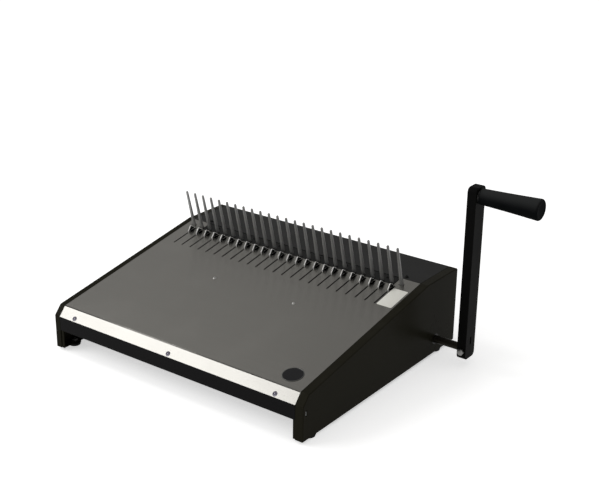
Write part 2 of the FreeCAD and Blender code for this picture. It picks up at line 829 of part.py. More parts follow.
def shaft_bush(outer_end):
    bush = x_rod(shaft_diameter + 2 * (shaft_clearance + bush_wall), shaft_y, shaft_z, plate_face, outer_end)
    bush = bush.fuse(x_rod(bush_flange_diameter, shaft_y, shaft_z, plate_face - bush_flange, plate_face))
    inner_end = plate_face - bush_flange - 1
    bore = x_rod(shaft_diameter + 2 * shaft_clearance, shaft_y, shaft_z, inner_end, outer_end + 1)
    return bush.cut(bore).removeSplitter()


def set_screw_axis():
    """Point on the axis of the set screw at the shaft's surface, and its direction away from the shaft."""
    out = Vector(0, sin_slope, -cos_slope)
    x = (hub_inner + crank_inner) / 2
    return Vector(x, shaft_y, shaft_z) + out * (shaft_diameter / 2), out


def crank():
    """Right-hand crank at rest: hub on the shaft, flat arm, and a round head with the hole of its pin."""
    up, depth = crank_pin_at(-half_turn)
    pin = panel_point(up, depth)
    hub = x_rod(crank_hub, shaft_y, shaft_z, hub_inner, hub_outer)
    head = x_rod(crank_head, pin.y, pin.z, crank_inner, crank_outer)
    along = Vector(0, pin.y - shaft_y, pin.z - shaft_z)
    along.normalize()
    across = Vector(0, -along.z, along.y)
    shaft_point = Vector(crank_inner, shaft_y, shaft_z)
    pin_point = Vector(crank_inner, pin.y, pin.z)
    corners = [shaft_point + across * crank_hub / 2, pin_point + across * crank_head / 2,
               pin_point - across * crank_head / 2, shaft_point - across * crank_hub / 2]
    web = Part.Face(Part.makePolygon(corners + corners[:1])).extrude(Vector(crank_sheet, 0, 0))
    solid = hub.fuse(head).fuse(web).removeSplitter()
    solid = solid.cut(x_rod(shaft_diameter, shaft_y, shaft_z, hub_inner - 1, hub_outer + 1))
    solid = solid.cut(x_rod(crank_pin, pin.y, pin.z, crank_inner - 1, crank_outer + 1))
    start, out = set_screw_axis()
    return solid.cut(rod(set_screw, start, start + out * crank_hub))


def crank_pins():
    up, depth = crank_pin_at(-half_turn)
    pin = panel_point(up, depth)
    one = x_rod(crank_pin, pin.y, pin.z, crank_inner, arm_outer + crank_pin_proud)
    return Part.makeCompound([one, mirror_x(one)])


def crank_set_screws():
    start, out = set_screw_axis()
    one = rod(set_screw, start, start + out * set_screw_length)
    socket = hexagon(set_screw / 2, set_screw_length, start + out * (set_screw_length / 2), out)
    one = one.cut(socket)
    return Part.makeCompound([one, mirror_x(one)])


def friction_washers():
    one = x_rod(washer_diameter, shaft_y, shaft_z, hub_outer, hub_outer + washer_thick)
    one = one.cut(x_rod(shaft_diameter, shaft_y, shaft_z, hub_outer - 1, hub_outer + washer_thick + 1))
    return Part.makeCompound([one, mirror_x(one)])


def bolt_hole():
    return rod(bolt_diameter, Vector(lever_middle, shaft_y - lever_wide, shaft_z),
               Vector(lever_middle, shaft_y + lever_wide, shaft_z))


def cross_shaft():
    shaft = x_rod(shaft_diameter, shaft_y, shaft_z, -inner_face + end_clearance, shaft_end)
    return shaft.cut(bolt_hole())


# lever and grip
def lever_arm():
    bar = block(lever_inner, lever_outer, shaft_y - lever_wide / 2, shaft_y + lever_wide / 2,
                lever_bottom, lever_top)
    ends = [edge for edge in bar.Edges if abs(edge.Vertexes[0].X - edge.Vertexes[1].X) > 1e-6]
    bar = bar.makeFillet(lever_round, ends)
    rims = [edge for edge in bar.Edges if abs(edge.Vertexes[0].X - edge.Vertexes[1].X) < 1e-6]
    bar = bar.makeFillet(lever_edge, rims)
    bar = bar.cut(x_rod(shaft_diameter, shaft_y, shaft_z, lever_inner - 1, shaft_end))
    bar = bar.cut(bolt_hole())
    bar = bar.cut(x_rod(stud_diameter, shaft_y, grip_height, lever_inner - 1, lever_outer + 1))
    mark_low = shaft_z + lever_mark_above
    mark = block(lever_outer - lever_mark_depth, lever_outer + 1, shaft_y - lever_mark_width / 2,
                 shaft_y + lever_mark_width / 2, mark_low, mark_low + lever_mark_height)
    return bar.cut(mark).removeSplitter()


def lever_bolt():
    front = Vector(lever_middle, shaft_y - lever_wide / 2, shaft_z)
    length = lever_wide + nut_thick + bolt_end
    head = hexagon(bolt_flats, bolt_head, front, Vector(0, -1, 0))
    cone = Part.makeCone(bolt_flats / 2 + bolt_washer_edge, bolt_flats / 2 - bolt_chamfer, bolt_head, front,
                         Vector(0, -1, 0))
    shank = rod(bolt_diameter, front, front + Vector(0, length, 0))
    return head.common(cone).fuse(shank).removeSplitter()


def lever_nut():
    back = Vector(lever_middle, shaft_y + lever_wide / 2, shaft_z)
    nut = hexagon(bolt_flats, nut_thick, back, Vector(0, 1, 0))
    return nut.cut(rod(bolt_diameter, back - Vector(0, 1, 0), back + Vector(0, nut_thick + 1, 0)))


def grip_stud():
    return x_rod(stud_diameter, shaft_y, grip_height, lever_inner, lever_outer + grip_washer + stud_in_grip)


def washer_of_grip():
    washer = x_rod(grip_washer_diameter, shaft_y, grip_height, lever_outer, lever_outer + grip_washer)
    bore = x_rod(stud_diameter, shaft_y, grip_height, lever_outer - 1, lever_outer + grip_washer + 1)
    return washer.cut(bore)


def hand_grip():
    near = lever_outer + grip_washer
    grip = Part.makeCone(grip_radius_near, grip_radius_far, grip_length, Vector(near, shaft_y, grip_height),
                         Vector(1, 0, 0))
    rims = [edge for edge in grip.Edges if len(edge.Vertexes) == 1 and edge.Closed]
    grip = grip.makeFillet(grip_round, rims)
    return grip.cut(x_rod(stud_diameter, shaft_y, grip_height, near - 1, near + stud_in_grip))


# feet and small fittings
def rubber_feet():
    feet = []
    for x, y in foot_places():
        foot = Part.makeCone(foot_diameter / 2 - foot_taper, foot_diameter / 2, foot_gap, Vector(x, y, 0))
        foot = foot.cut(Part.makeCylinder(foot_recess / 2, foot_recess_depth, Vector(x, y, 0)))
        feet.append(foot.cut(Part.makeCylinder(foot_screw / 2, foot_gap + 1, Vector(x, y, 0))))
    return Part.makeCompound(feet)


def foot_screws():
    screws = []
    top = foot_gap + side_sheet + foot_nut_thick + 1
    for x, y in foot_places():
        seat = foot_recess_depth
        low = Vector(x, y, seat - foot_screw_head_thick)
        head = Part.makeCylinder(foot_screw_head / 2, foot_screw_head_thick, low)
        shank = Part.makeCylinder(foot_screw / 2, top - seat, Vector(x, y, seat))
        screws.append(head.fuse(shank).removeSplitter())
    return Part.makeCompound(screws)


def foot_nuts():
    nuts = []
    seat = foot_gap + side_sheet
    for x, y in foot_places():
        nut = hexagon(foot_nut_flats, foot_nut_thick, Vector(x, y, seat), Vector(0, 0, 1))
        nuts.append(nut.cut(Part.makeCylinder(foot_screw / 2, foot_nut_thick + 2, Vector(x, y, seat - 1))))
    return Part.makeCompound(nuts)


def cover_screws(places, out, head, dome):
    return Part.makeCompound([round_screw(place, out, head, dome, cover_screw, cover_screw_length)
                              for place in places])


def strip_screws():
    return cover_screws(strip_screw_places(), strip_axis()[2], strip_screw_head, strip_screw_dome)


def panel_screws():
    normal = Vector(0, -sin_slope, cos_slope)
    return cover_screws(panel_screw_places(), normal, panel_screw_head, panel_screw_dome)


def deck_screws():
    return cover_screws(deck_screw_places(), Vector(0, 0, 1), deck_screw_head, deck_screw_dome)


def rear_screws():
    return cover_screws(rear_screw_places(), Vector(0, 1, 0), rear_screw_head, rear_screw_dome)


def rating_plate():
    right = half_width - plate_label_inset
    end = slot_front + plate_label_length
    top = -plate_label_thick
    outline = [(slot_front, 0), (end, 0), (end, top), (slot_front, top)]
    return panel_prism(outline, right - plate_label_width, right)


def round_badge():
    x = half_width - badge_inset
    centre = panel_point(badge_up, 0, x)
    top = panel_point(badge_up, -badge_thick, x)
    return rod(badge_diameter, centre, top)


def build():
    left_plate, right_plate = side_plates()
    bar, clamp, clamp_screws = tine_holder()
    plate = bearing_plate_right()
    arm = slide_arm()
    crank_one = crank()
    return {
        "side_plate_left": left_plate,
        "side_plate_right": right_plate,
        "front_cover": front_cover(),
        "top_panel": top_panel(),
        "rear_cover": rear_cover(),
        "front_rail": front_rail(),
        "rear_rail": rear_rail(),
        "deck_rail": deck_rail(),
        "panel_stiffener": panel_stiffener(),
        "bearing_plate_left": mirror_x(plate),
        "bearing_plate_right": plate,
        "tine_bar": bar,
        "tine_clamp": clamp,
        "tine_clamp_screws": clamp_screws,
        "comb_tines": comb_tines(),
        "comb_hooks": comb_hooks(),
        "carriage_bar": carriage_bar(),
        "carriage_screws": carriage_screws(),
        "slide_arm_left": mirror_x(arm),
        "slide_arm_right": arm,
        "guide_pins": guide_pins(),
        "cross_shaft": cross_shaft(),
        "shaft_bush_left": mirror_x(shaft_bush(inner_face)),
        "shaft_bush_right": shaft_bush(half_width),
        "crank_left": mirror_x(crank_one),
        "crank_right": crank_one,
        "crank_pins": crank_pins(),
        "crank_set_screws": crank_set_screws(),
        "friction_washers": friction_washers(),
        "lever_arm": lever_arm(),
        "lever_bolt": lever_bolt(),
        "lever_nut": lever_nut(),
        "grip_stud": grip_stud(),
        "grip_washer": washer_of_grip(),
        "hand_grip": hand_grip(),
        "rubber_feet": rubber_feet(),
        "foot_screws": foot_screws(),
        "foot_nuts": foot_nuts(),
        "strip_screws": strip_screws(),
        "panel_screws": panel_screws(),
        "deck_screws": deck_screws(),
        "rear_screws": rear_screws(),
        "rating_plate": rating_plate(),
        "round_badge": round_badge(),
    }


os.makedirs("parts", exist_ok=True)
for name, shape in build().items():
    if not shape.isValid() or not shape.Solids:
        raise ValueError(name + " isn't a valid solid")
    shape.exportStep("parts/" + name + ".step")
    box = shape.BoundBox
    print(name, len(shape.Solids), round(shape.Volume, 1),
          [round(v, 2) for v in (box.XMin, box.XMax, box.YMin, box.YMax, box.ZMin, box.ZMax)])
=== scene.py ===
import bmesh
import bpy
import json
import math
import numpy as np
from mathutils import Matrix, Vector


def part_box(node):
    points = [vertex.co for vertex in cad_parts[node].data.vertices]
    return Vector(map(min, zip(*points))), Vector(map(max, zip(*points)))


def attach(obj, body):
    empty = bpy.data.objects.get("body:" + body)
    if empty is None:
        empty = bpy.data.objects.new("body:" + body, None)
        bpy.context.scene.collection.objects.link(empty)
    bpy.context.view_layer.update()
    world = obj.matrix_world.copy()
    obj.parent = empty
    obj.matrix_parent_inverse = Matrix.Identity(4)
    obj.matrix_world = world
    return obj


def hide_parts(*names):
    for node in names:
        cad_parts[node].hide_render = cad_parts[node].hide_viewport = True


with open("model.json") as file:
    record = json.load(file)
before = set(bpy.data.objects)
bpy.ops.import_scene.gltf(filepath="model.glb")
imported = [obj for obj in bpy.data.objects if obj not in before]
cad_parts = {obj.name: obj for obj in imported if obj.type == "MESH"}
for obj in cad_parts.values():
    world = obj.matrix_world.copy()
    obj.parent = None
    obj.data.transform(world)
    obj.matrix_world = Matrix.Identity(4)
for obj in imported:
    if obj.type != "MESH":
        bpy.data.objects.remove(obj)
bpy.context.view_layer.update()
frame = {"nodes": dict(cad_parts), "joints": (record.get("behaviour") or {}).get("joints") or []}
nodes = frame["nodes"]
joints = {joint["name"]: joint for joint in frame["joints"]}
mm = 0.001
sameSpot = 1e-6
xAxis = np.array((1.0, 0.0, 0.0))
yAxis = np.array((0.0, 1.0, 0.0))
zAxis = np.array((0.0, 0.0, 1.0))


def lowOf(node):
    return np.array(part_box(node)[0])


def highOf(node):
    return np.array(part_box(node)[1])


# directions and a starting point of the sloping panel
panel = dict(sheet=1.2 * mm, length=253.016 * mm, stripBottom=47.8 * mm, toTines=12.8 * mm)
panelUp = -np.array(joints["carriage_slide"]["axis"], float)
panelOut = np.cross(xAxis, panelUp)
panelEnd = np.array((0.0, highOf("top_panel")[1] - panel["sheet"] * panelUp[2], highOf("top_panel")[2]))
panelBend = panelEnd - panel["length"] * panelUp
stripFoot = np.array((0.0, lowOf("front_cover")[1], panel["stripBottom"]))
stripUp = (panelBend - stripFoot) / np.linalg.norm(panelBend - stripFoot)
stripOut = np.cross(xAxis, stripUp)
print("frame read:", len(nodes), "nodes")


# surfaces on grids
def gridFaces(rows, columns):
    # a quad between each pair of neighbouring rows and columns; the last column meets the first
    row = np.arange(rows - 1)[:, None]
    column = np.arange(columns)[None, :]
    following = (column + 1) % columns
    return np.stack([row * columns + column, row * columns + following,
                     (row + 1) * columns + following, (row + 1) * columns + column], -1).reshape(-1, 4)


def addPiece(name, grids, finish, body, stands=(), sharp=32.0):
    # a mesh from grids of points, each (rows, columns, 3) with columns round the shape; flat caps close the
    # first and the last row, unless they are the same ring
    points, faces, first = [], [], 0
    for grid in grids:
        rows, columns = grid.shape[:2]
        points.append(grid.reshape(-1, 3))
        faces += (gridFaces(rows, columns) + first).tolist()
        if not np.allclose(grid[0], grid[-1]):
            faces.append((np.arange(columns)[::-1] + first).tolist())
            faces.append((np.arange(columns) + first + (rows - 1) * columns).tolist())
        first += rows * columns
    mesh = bpy.data.meshes.new(name)
    mesh.from_pydata(np.concatenate(points).tolist(), [], faces)
    work = bmesh.new()
    work.from_mesh(mesh)
    bmesh.ops.remove_doubles(work, verts=work.verts, dist=sameSpot)
    bmesh.ops.dissolve_degenerate(work, edges=work.edges, dist=0.1 * sameSpot)
    bmesh.ops.recalc_face_normals(work, faces=work.faces)
    work.to_mesh(mesh)
    work.free()
    mesh.polygons.foreach_set("use_smooth", np.ones(len(mesh.polygons), bool))
    mesh.set_sharp_from_angle(angle=math.radians(sharp))
    mesh.materials.append(finish)
    piece = bpy.data.objects.new(name, mesh)
    bpy.context.scene.collection.objects.link(piece)
    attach(piece, body)
    if stands:
        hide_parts(*stands)
    return piece


def frameAlong(direction):
    # two directions square to the given one
    along = np.array(direction, float) / np.linalg.norm(direction)
    side = np.cross(along, zAxis if abs(along[2]) < 0.9 else xAxis)
    side /= np.linalg.norm(side)
    return along, side, np.cross(along, side)


def rings(start, direction, along, radius, steps):
    # each row is a circle round the axis: start + along * axis + radius * (cos, sin); the radius may change
    # round it
    axis, side, other = frameAlong(direction)
    angle = np.linspace(0, 2 * np.pi, steps, endpoint=False)
    along = np.broadcast_to(np.asarray(along, float).reshape(len(along), -1), (len(along), steps))
    radius = np.broadcast_to(np.asarray(radius, float).reshape(len(radius), -1), (len(radius), steps))
    return (start + along[..., None] * axis + (radius * np.cos(angle))[..., None] * side
            + (radius * np.sin(angle))[..., None] * other)


def turned(start, direction, profile, steps=48):
    # a profile of (distance along the axis, radius) turned round that axis
    profile = np.array(profile, float)
    return rings(start, direction, profile[:, 0], profile[:, 1], steps)


def arcPoints(centre, radius, start, end, count):
    # points on a circle arc, angles in degrees, as (along, radius) pairs of a profile
    angle = np.radians(np.linspace(start, end, count))
    return np.stack([centre[0] + radius * np.cos(angle), centre[1] + radius * np.sin(angle)], -1)


def smooth(edge0, edge1, value):
    # 0 below the first edge, 1 above the second, an S curve between them
    t = np.clip((value - edge0) / (edge1 - edge0), 0, 1)
    return t * t * (3 - 2 * t)


def onPanel(up, out, x):
    # points given up the panel from its top end, out of its face and along X
    up, out, x = np.broadcast_arrays(up, out, x)
    return panelEnd + up[..., None] * panelUp + out[..., None] * panelOut + x[..., None] * xAxis


thread = dict(shape=(0.0, 0.35, 1.0, 0.35), drawnIn=1.6)


def threadProfile(start, end, radius, pitch, depth):
    # a shank with a ridge at each pitch, drawn in at its tip, as (along, radius) pairs from start down to end
    turns = max(2, int(abs(end - start) / pitch))
    rows = len(thread["shape"])
    along = np.linspace(start, end, turns * rows + 1)
    ridge = radius - depth * np.array(thread["shape"])[np.arange(len(along)) % rows]
    ridge[-2:] = radius - thread["drawnIn"] * depth
    return np.stack([along, ridge], -1)


# node groups shared by the finishes
def newGroup(name, inputs, outputs):
    tree = bpy.data.node_groups.new(name, "ShaderNodeTree")
    for label, kind, value in inputs:
        socket = tree.interface.new_socket(name=label, in_out="INPUT", socket_type=kind)
        if value is not None:
            socket.default_value = value
    for label, kind in outputs:
        tree.interface.new_socket(name=label, in_out="OUTPUT", socket_type=kind)
    return tree, tree.nodes.new("NodeGroupInput"), tree.nodes.new("NodeGroupOutput")


def node(tree, kind, links=(), **settings):
    # a node with its settings; links are (input name or index, output socket or value)
    made = tree.nodes.new("ShaderNode" + kind)
    for key, value in settings.items():
        setattr(made, key, value)
    for key, value in links:
        if isinstance(value, bpy.types.NodeSocket):
            tree.links.new(value, made.inputs[key])
        else:
            made.inputs[key].default_value = value
    return made


def maths(tree, operation, first, second=0.0, third=0.0, clamp=False):
    made = node(tree, "Math", [(0, first), (1, second), (2, third)], operation=operation, use_clamp=clamp)
    return made.outputs[0]


def noise(tree, place, scale, detail, roughness=0.5):
    links = [("Vector", place), ("Scale", scale), ("Detail", detail), ("Roughness", roughness)]
    return node(tree, "TexNoise", links)


def spread(tree, value, low, high, outLow, outHigh):
    return node(tree, "MapRange", [(0, value), (1, low), (2, high), (3, outLow), (4, outHigh)],
                interpolation_type="SMOOTHSTEP").outputs[0]


floatKind, vectorKind, colourKind = "NodeSocketFloat", "NodeSocketVector", "NodeSocketColor"


brush = dict(along=5.0, across=1400.0, detail=3.0, roughness=0.6, coarse=0.16, coarseDetail=2.0,
             coarseShare=0.5)


def brushedGroup():
    # fine lines along X: noise squeezed along the lines, a coarse and a fine set, for height and roughness
    tree, given, result = newGroup(
        "brushedLines",
        [("Vector", vectorKind, None), ("Along", floatKind, brush["along"]),
         ("Across", floatKind, brush["across"])],
        [("Height", floatKind), ("Streak", floatKind)])
    scale = node(tree, "CombineXYZ", [("X", given.outputs["Along"]), ("Y", given.outputs["Across"]),
                                      ("Z", given.outputs["Across"])]).outputs[0]
    squeezed = node(tree, "VectorMath", [(0, given.outputs["Vector"]), (1, scale)], operation="MULTIPLY")
    fine = noise(tree, squeezed.outputs[0], 1.0, brush["detail"], brush["roughness"])
    coarse = noise(tree, squeezed.outputs[0], brush["coarse"], brush["coarseDetail"])
    height = maths(tree, "MULTIPLY_ADD", coarse.outputs[0], brush["coarseShare"], fine.outputs[0])
    tree.links.new(height, result.inputs["Height"])
    tree.links.new(coarse.outputs[0], result.inputs["Streak"])
    return tree


lumps = dict(grain=900.0, fine=2.6, fineDetail=2.0, fineShare=0.3, patch=14.0, patchDetail=4.0)


def coatGroup():
    # powder coat: rounded lumps with finer ones on them, and a slow change of gloss
    tree, given, result = newGroup(
        "powderCoat", [("Vector", vectorKind, None), ("Grain", floatKind, lumps["grain"])],
        [("Height", floatKind), ("Patch", floatKind)])
    place, grain = given.outputs["Vector"], given.outputs["Grain"]
    bumps = node(tree, "TexVoronoi", [("Vector", place), ("Scale", grain)], feature="SMOOTH_F1")
    fine = noise(tree, place, maths(tree, "MULTIPLY", grain, lumps["fine"]), lumps["fineDetail"])
    patch = noise(tree, place, lumps["patch"], lumps["patchDetail"])
    height = maths(tree, "MULTIPLY_ADD", fine.outputs[0], lumps["fineShare"], bumps.outputs["Distance"])
    tree.links.new(height, result.inputs["Height"])
    tree.links.new(patch.outputs[0], result.inputs["Patch"])
    return tree


wear = dict(smear=16.0, speck=420.0, bend=7.0, bendDetail=2.0, bendReach=0.05, smearDetail=5.0,
            smearRoughness=0.62, smearEdges=(0.45, 0.72), speckEdges=(0.02, 0.12))


def handledGroup():
    # traces of use: wiped smears and small specks, both between 0 and 1
    tree, given, result = newGroup(
        "handled",
        [("Vector", vectorKind, None), ("Smear Size", floatKind, wear["smear"]),
         ("Speck Size", floatKind, wear["speck"])],
        [("Smear", floatKind), ("Speck", floatKind)])
    place = given.outputs["Vector"]
    bent = noise(tree, place, wear["bend"], wear["bendDetail"])
    offset = node(tree, "VectorMath", [(0, bent.outputs[1]), (3, wear["bendReach"])], operation="SCALE")
    moved = node(tree, "VectorMath", [(0, place), (1, offset.outputs[0])], operation="ADD").outputs[0]
    smear = noise(tree, moved, given.outputs["Smear Size"], wear["smearDetail"], wear["smearRoughness"])
    speck = node(tree, "TexVoronoi", [("Vector", place), ("Scale", given.outputs["Speck Size"])])
    smeared = spread(tree, smear.outputs[0], *wear["smearEdges"], 0.0, 1.0)
    specked = spread(tree, speck.outputs["Distance"], *wear["speckEdges"], 1.0, 0.0)
    tree.links.new(smeared, result.inputs["Smear"])
    tree.links.new(specked, result.inputs["Speck"])
    return tree


brushedLines, powderCoat, handled = brushedGroup(), coatGroup(), handledGroup()


def useGroup(tree, group, **inputs):
    made = tree.nodes.new("ShaderNodeGroup")
    made.node_tree = group
    for key, value in inputs.items():
        socket = made.inputs[key.replace("_", " ")]
        if isinstance(value, bpy.types.NodeSocket):
            tree.links.new(value, socket)
        else:
            socket.default_value = value
    return made


# finishes
def startMaterial(name, turn=(0.0, 0.0, 0.0)):
    # a material with its shader, and the object coordinates turned by degrees so that a pattern follows the
    # piece
    material = bpy.data.materials.new(name)
    material.use_nodes = True
    tree = material.node_tree
    shader = tree.nodes["Principled BSDF"]
    place = tree.nodes.new("ShaderNodeTexCoord").outputs["Object"]
    if any(turn):
        rotation = [math.radians(angle) for angle in turn]
        place = node(tree, "Mapping", [("Vector", place), ("Rotation", rotation)]).outputs[0]
    return material, tree, shader, place


def facing(tree, source, axis):
    # how far the surface faces along an axis, of the piece with TexCoord or of the world with NewGeometry
    normal = tree.nodes.new("ShaderNode" + source).outputs["Normal"]
    return node(tree, "SeparateXYZ", [(0, normal)]).outputs[axis]


def blendColour(tree, share, first, second):
    mix = tree.nodes.new("ShaderNodeMix")
    mix.data_type = "RGBA"
    for key, value in ((0, share), (6, first), (7, second)):
        if isinstance(value, bpy.types.NodeSocket):
            tree.links.new(value, mix.inputs[key])
        else:
            mix.inputs[key].default_value = value if key == 0 else (*value, 1.0)
    return mix.outputs[2]


def bumped(tree, shader, height, distance, strength):
    bump = node(tree, "Bump", [("Height", height), ("Distance", distance), ("Strength", strength)])
    tree.links.new(bump.outputs[0], shader.inputs["Normal"])


metal = dict(paintedFlankShade=(0.93, 0.98), bump=0.02 * mm)


def metalFinish(name, colour, worn, roughness, lines, bump, turn=(0.0, 0.0, 0.0), smears=0.1, streaks=0.12,
                paintedFlankShade=None, metallic=1.0):
    # brushed or plated metal: lines give height and streaks of roughness, smears make it rougher in places;
    # the side faces of a plate, which face along X, can be given their own colour, a painted shade
    material, tree, shader, place = startMaterial(name, turn)
    brushed = useGroup(tree, brushedLines, Vector=place, Along=lines[0], Across=lines[1])
    traces = useGroup(tree, handled, Vector=place)
    shader.inputs["Metallic"].default_value = metallic
    shade = blendColour(tree, brushed.outputs["Streak"], colour, worn)
    # painted shade: faces that point along X blend to the near-black side colour
    if paintedFlankShade:
        sideways = maths(tree, "ABSOLUTE", facing(tree, "TexCoord", "X"))
        shade = blendColour(tree, spread(tree, sideways, *metal["paintedFlankShade"], 0.0, 1.0), shade, paintedFlankShade)
    tree.links.new(shade, shader.inputs["Base Color"])
    streak = maths(tree, "MULTIPLY_ADD", brushed.outputs["Streak"], streaks, roughness - streaks / 2)
    rough = maths(tree, "MULTIPLY_ADD", traces.outputs["Smear"], smears, streak, clamp=True)
    tree.links.new(rough, shader.inputs["Roughness"])
    bumped(tree, shader, brushed.outputs["Height"], metal["bump"], bump)
    return material


coat = dict(upward=(0.2, 1.0, 0.15, 1.0), dust=0.5, dustRoughness=0.08, patch=0.16, bump=0.05 * mm)


def coatFinish(name, colour, dusty, roughness, specular, grain, bump, tint=(1.0, 1.0, 1.0)):
    # powder coat or paint: lumps for height, patches of gloss, dust where the surface faces up
    material, tree, shader, place = startMaterial(name)
    coated = useGroup(tree, powderCoat, Vector=place, Grain=grain)
    traces = useGroup(tree, handled, Vector=place)
    upward = spread(tree, facing(tree, "NewGeometry", "Z"), *coat["upward"])
    marked = maths(tree, "ADD", traces.outputs["Smear"], traces.outputs["Speck"])
    dust = maths(tree, "MULTIPLY", marked, upward)
    shade = blendColour(tree, maths(tree, "MULTIPLY", dust, coat["dust"], clamp=True), colour, dusty)
    tree.links.new(shade, shader.inputs["Base Color"])
    patch = maths(tree, "MULTIPLY_ADD", coated.outputs["Patch"], coat["patch"], roughness - coat["patch"] / 2)
    rough = maths(tree, "MULTIPLY_ADD", dust, coat["dustRoughness"], patch, clamp=True)
    tree.links.new(rough, shader.inputs["Roughness"])
    shader.inputs["Specular IOR Level"].default_value = specular
    shader.inputs["Specular Tint"].default_value = (*tint, 1.0)
    bumped(tree, shader, coated.outputs["Height"], coat["bump"], bump)
    return material


plastic = dict(detail=3.0, smear=34.0, pale=0.6, upward=(-0.1, 1.0, 0.0, 1.0), grain=0.14, bump=0.04 * mm)


def plasticFinish(name, colour, pale, roughness, grain, bump, specular=0.4, upward=None):
    # moulded plastic, rubber or film: a fine even grain and slightly paler patches; the surfaces that face up
    # can take a paler colour, a painted highlight of the light from above
    material, tree, shader, place = startMaterial(name)
    fine = noise(tree, place, grain, plastic["detail"])
    traces = useGroup(tree, handled, Vector=place, Smear_Size=plastic["smear"])
    shade = blendColour(tree, maths(tree, "MULTIPLY", traces.outputs["Smear"], plastic["pale"]), colour, pale)
    # painted highlight: surfaces that face up blend to the paler colour
    if upward:
        share = spread(tree, facing(tree, "TexCoord", "Z"), *plastic["upward"])
        shade = blendColour(tree, share, shade, upward)
    tree.links.new(shade, shader.inputs["Base Color"])
    rough = maths(tree, "MULTIPLY_ADD", fine.outputs[0], plastic["grain"], roughness - plastic["grain"] / 2)
    tree.links.new(rough, shader.inputs["Roughness"])
    shader.inputs["Specular IOR Level"].default_value = specular
    bumped(tree, shader, fine.outputs[0], plastic["bump"], bump)
    return material


turnedLines = (60.0, 240.0)
metals = [  # name, colour, worn colour, roughness, lines along and across, bump, options
    ("panelSteel", (0.196, 0.190, 0.175), (0.206, 0.200, 0.185), 0.24, (6.0, 2600.0), 0.012,
     dict(smears=0.02, streaks=0.03)),
    ("tineSteel", (0.272, 0.272, 0.270), (0.310, 0.310, 0.307), 0.50, (12.0, 1100.0), 0.3,
     dict(turn=(0.0, 90.0, 0.0))),
    ("hookSteel", (0.36, 0.355, 0.34), (0.44, 0.435, 0.42), 0.36, (20.0, 900.0), 0.3, {}),
    # finSteel: its pale colour is partly the steel's own and partly a painted highlight along the hook rims;
    # its near-black side colour is a painted shade
    ("finSteel", (0.80, 0.79, 0.77), (0.88, 0.87, 0.85), 0.46, (20.0, 900.0), 0.2,
     dict(paintedFlankShade=(0.008, 0.008, 0.008), metallic=0.45)),
    ("platedSteel", (0.30, 0.31, 0.32), (0.38, 0.39, 0.40), 0.40, turnedLines, 0.4, {}),
    ("oxideSteel", (0.030, 0.030, 0.029), (0.045, 0.044, 0.042), 0.46, turnedLines, 0.4, {}),
    ("screwSteel", (0.20, 0.19, 0.23), (0.27, 0.26, 0.30), 0.24, turnedLines, 0.3, {}),
    ("boltSteel", (0.20, 0.20, 0.195), (0.27, 0.27, 0.26), 0.36, turnedLines, 0.3, {}),
    ("shaftSteel", (0.013, 0.0115, 0.009), (0.024, 0.022, 0.018), 0.38, (400.0, 30.0), 0.4, {}),
    ("bushBronze", (0.075, 0.060, 0.040), (0.10, 0.080, 0.052), 0.42, turnedLines, 0.3, {}),
    ("badgeRim", (0.10, 0.10, 0.098), (0.14, 0.14, 0.136), 0.3, turnedLines, 0.3, {}),
]
coats = [  # name, colour, colour of the dust, roughness, specular level, grain, bump, tint of the gloss
    ("caseCoat", (0.0060, 0.0060, 0.0057), (0.018, 0.018, 0.017), 0.42, 0.08, 1000.0, 0.30),
    ("coverCoat", (0.0055, 0.0053, 0.0056), (0.012, 0.012, 0.012), 0.42, 0.035, 1000.0, 0.30),
    ("sideCoat", (0.0140, 0.0131, 0.0088), (0.022, 0.021, 0.016), 0.30, 0.012, 800.0, 0.16,
     (1.0, 0.96, 0.78)),
    ("leverCoat", (0.0040, 0.0040, 0.0038), (0.012, 0.012, 0.012), 0.46, 0.020, 1100.0, 0.25),
    ("screwBlack", (0.003, 0.003, 0.003), (0.010, 0.010, 0.010), 0.34, 0.10, 1500.0, 0.2),
]
plastics = [  # name, colour, paler colour, roughness, grain, bump, specular level, colour where it faces up
    # the grip's colour where it faces up is a painted highlight of the light from above
    ("gripPlastic", (0.0042, 0.0046, 0.0050), (0.007, 0.0075, 0.008), 0.60, 1500.0, 0.5, 0.008,
     (0.026, 0.027, 0.027)),
    ("footRubber", (0.006, 0.006, 0.006), (0.012, 0.012, 0.012), 0.7, 900.0, 0.6, 0.1),
    ("plateFilm", (0.78, 0.77, 0.71), (0.70, 0.69, 0.63), 0.4, 700.0, 0.15, 0.3),
    ("paleNylon", (0.50, 0.48, 0.42), (0.42, 0.40, 0.35), 0.44, 600.0, 0.3),
    ("badgeEnamel", (0.008, 0.008, 0.009), (0.014, 0.014, 0.015), 0.24, 500.0, 0.1, 0.12),
]
finish = {values[0]: metalFinish(*values[:-1], **values[-1]) for values in metals}
finish.update({values[0]: coatFinish(*values) for values in coats})
finish.update({values[0]: plasticFinish(*values) for values in plastics})

# the darker line along the panel's bend is a painted reflection, and the front strip's brighter colour is a
# painted highlight
bend = dict(line=(0.03, 0.10, 0.24, 0.34), paintedBendShade=(0.06, 0.058, 0.054), paintedStripHighlight=(0.268, 0.262, 0.246), smear=0.9)


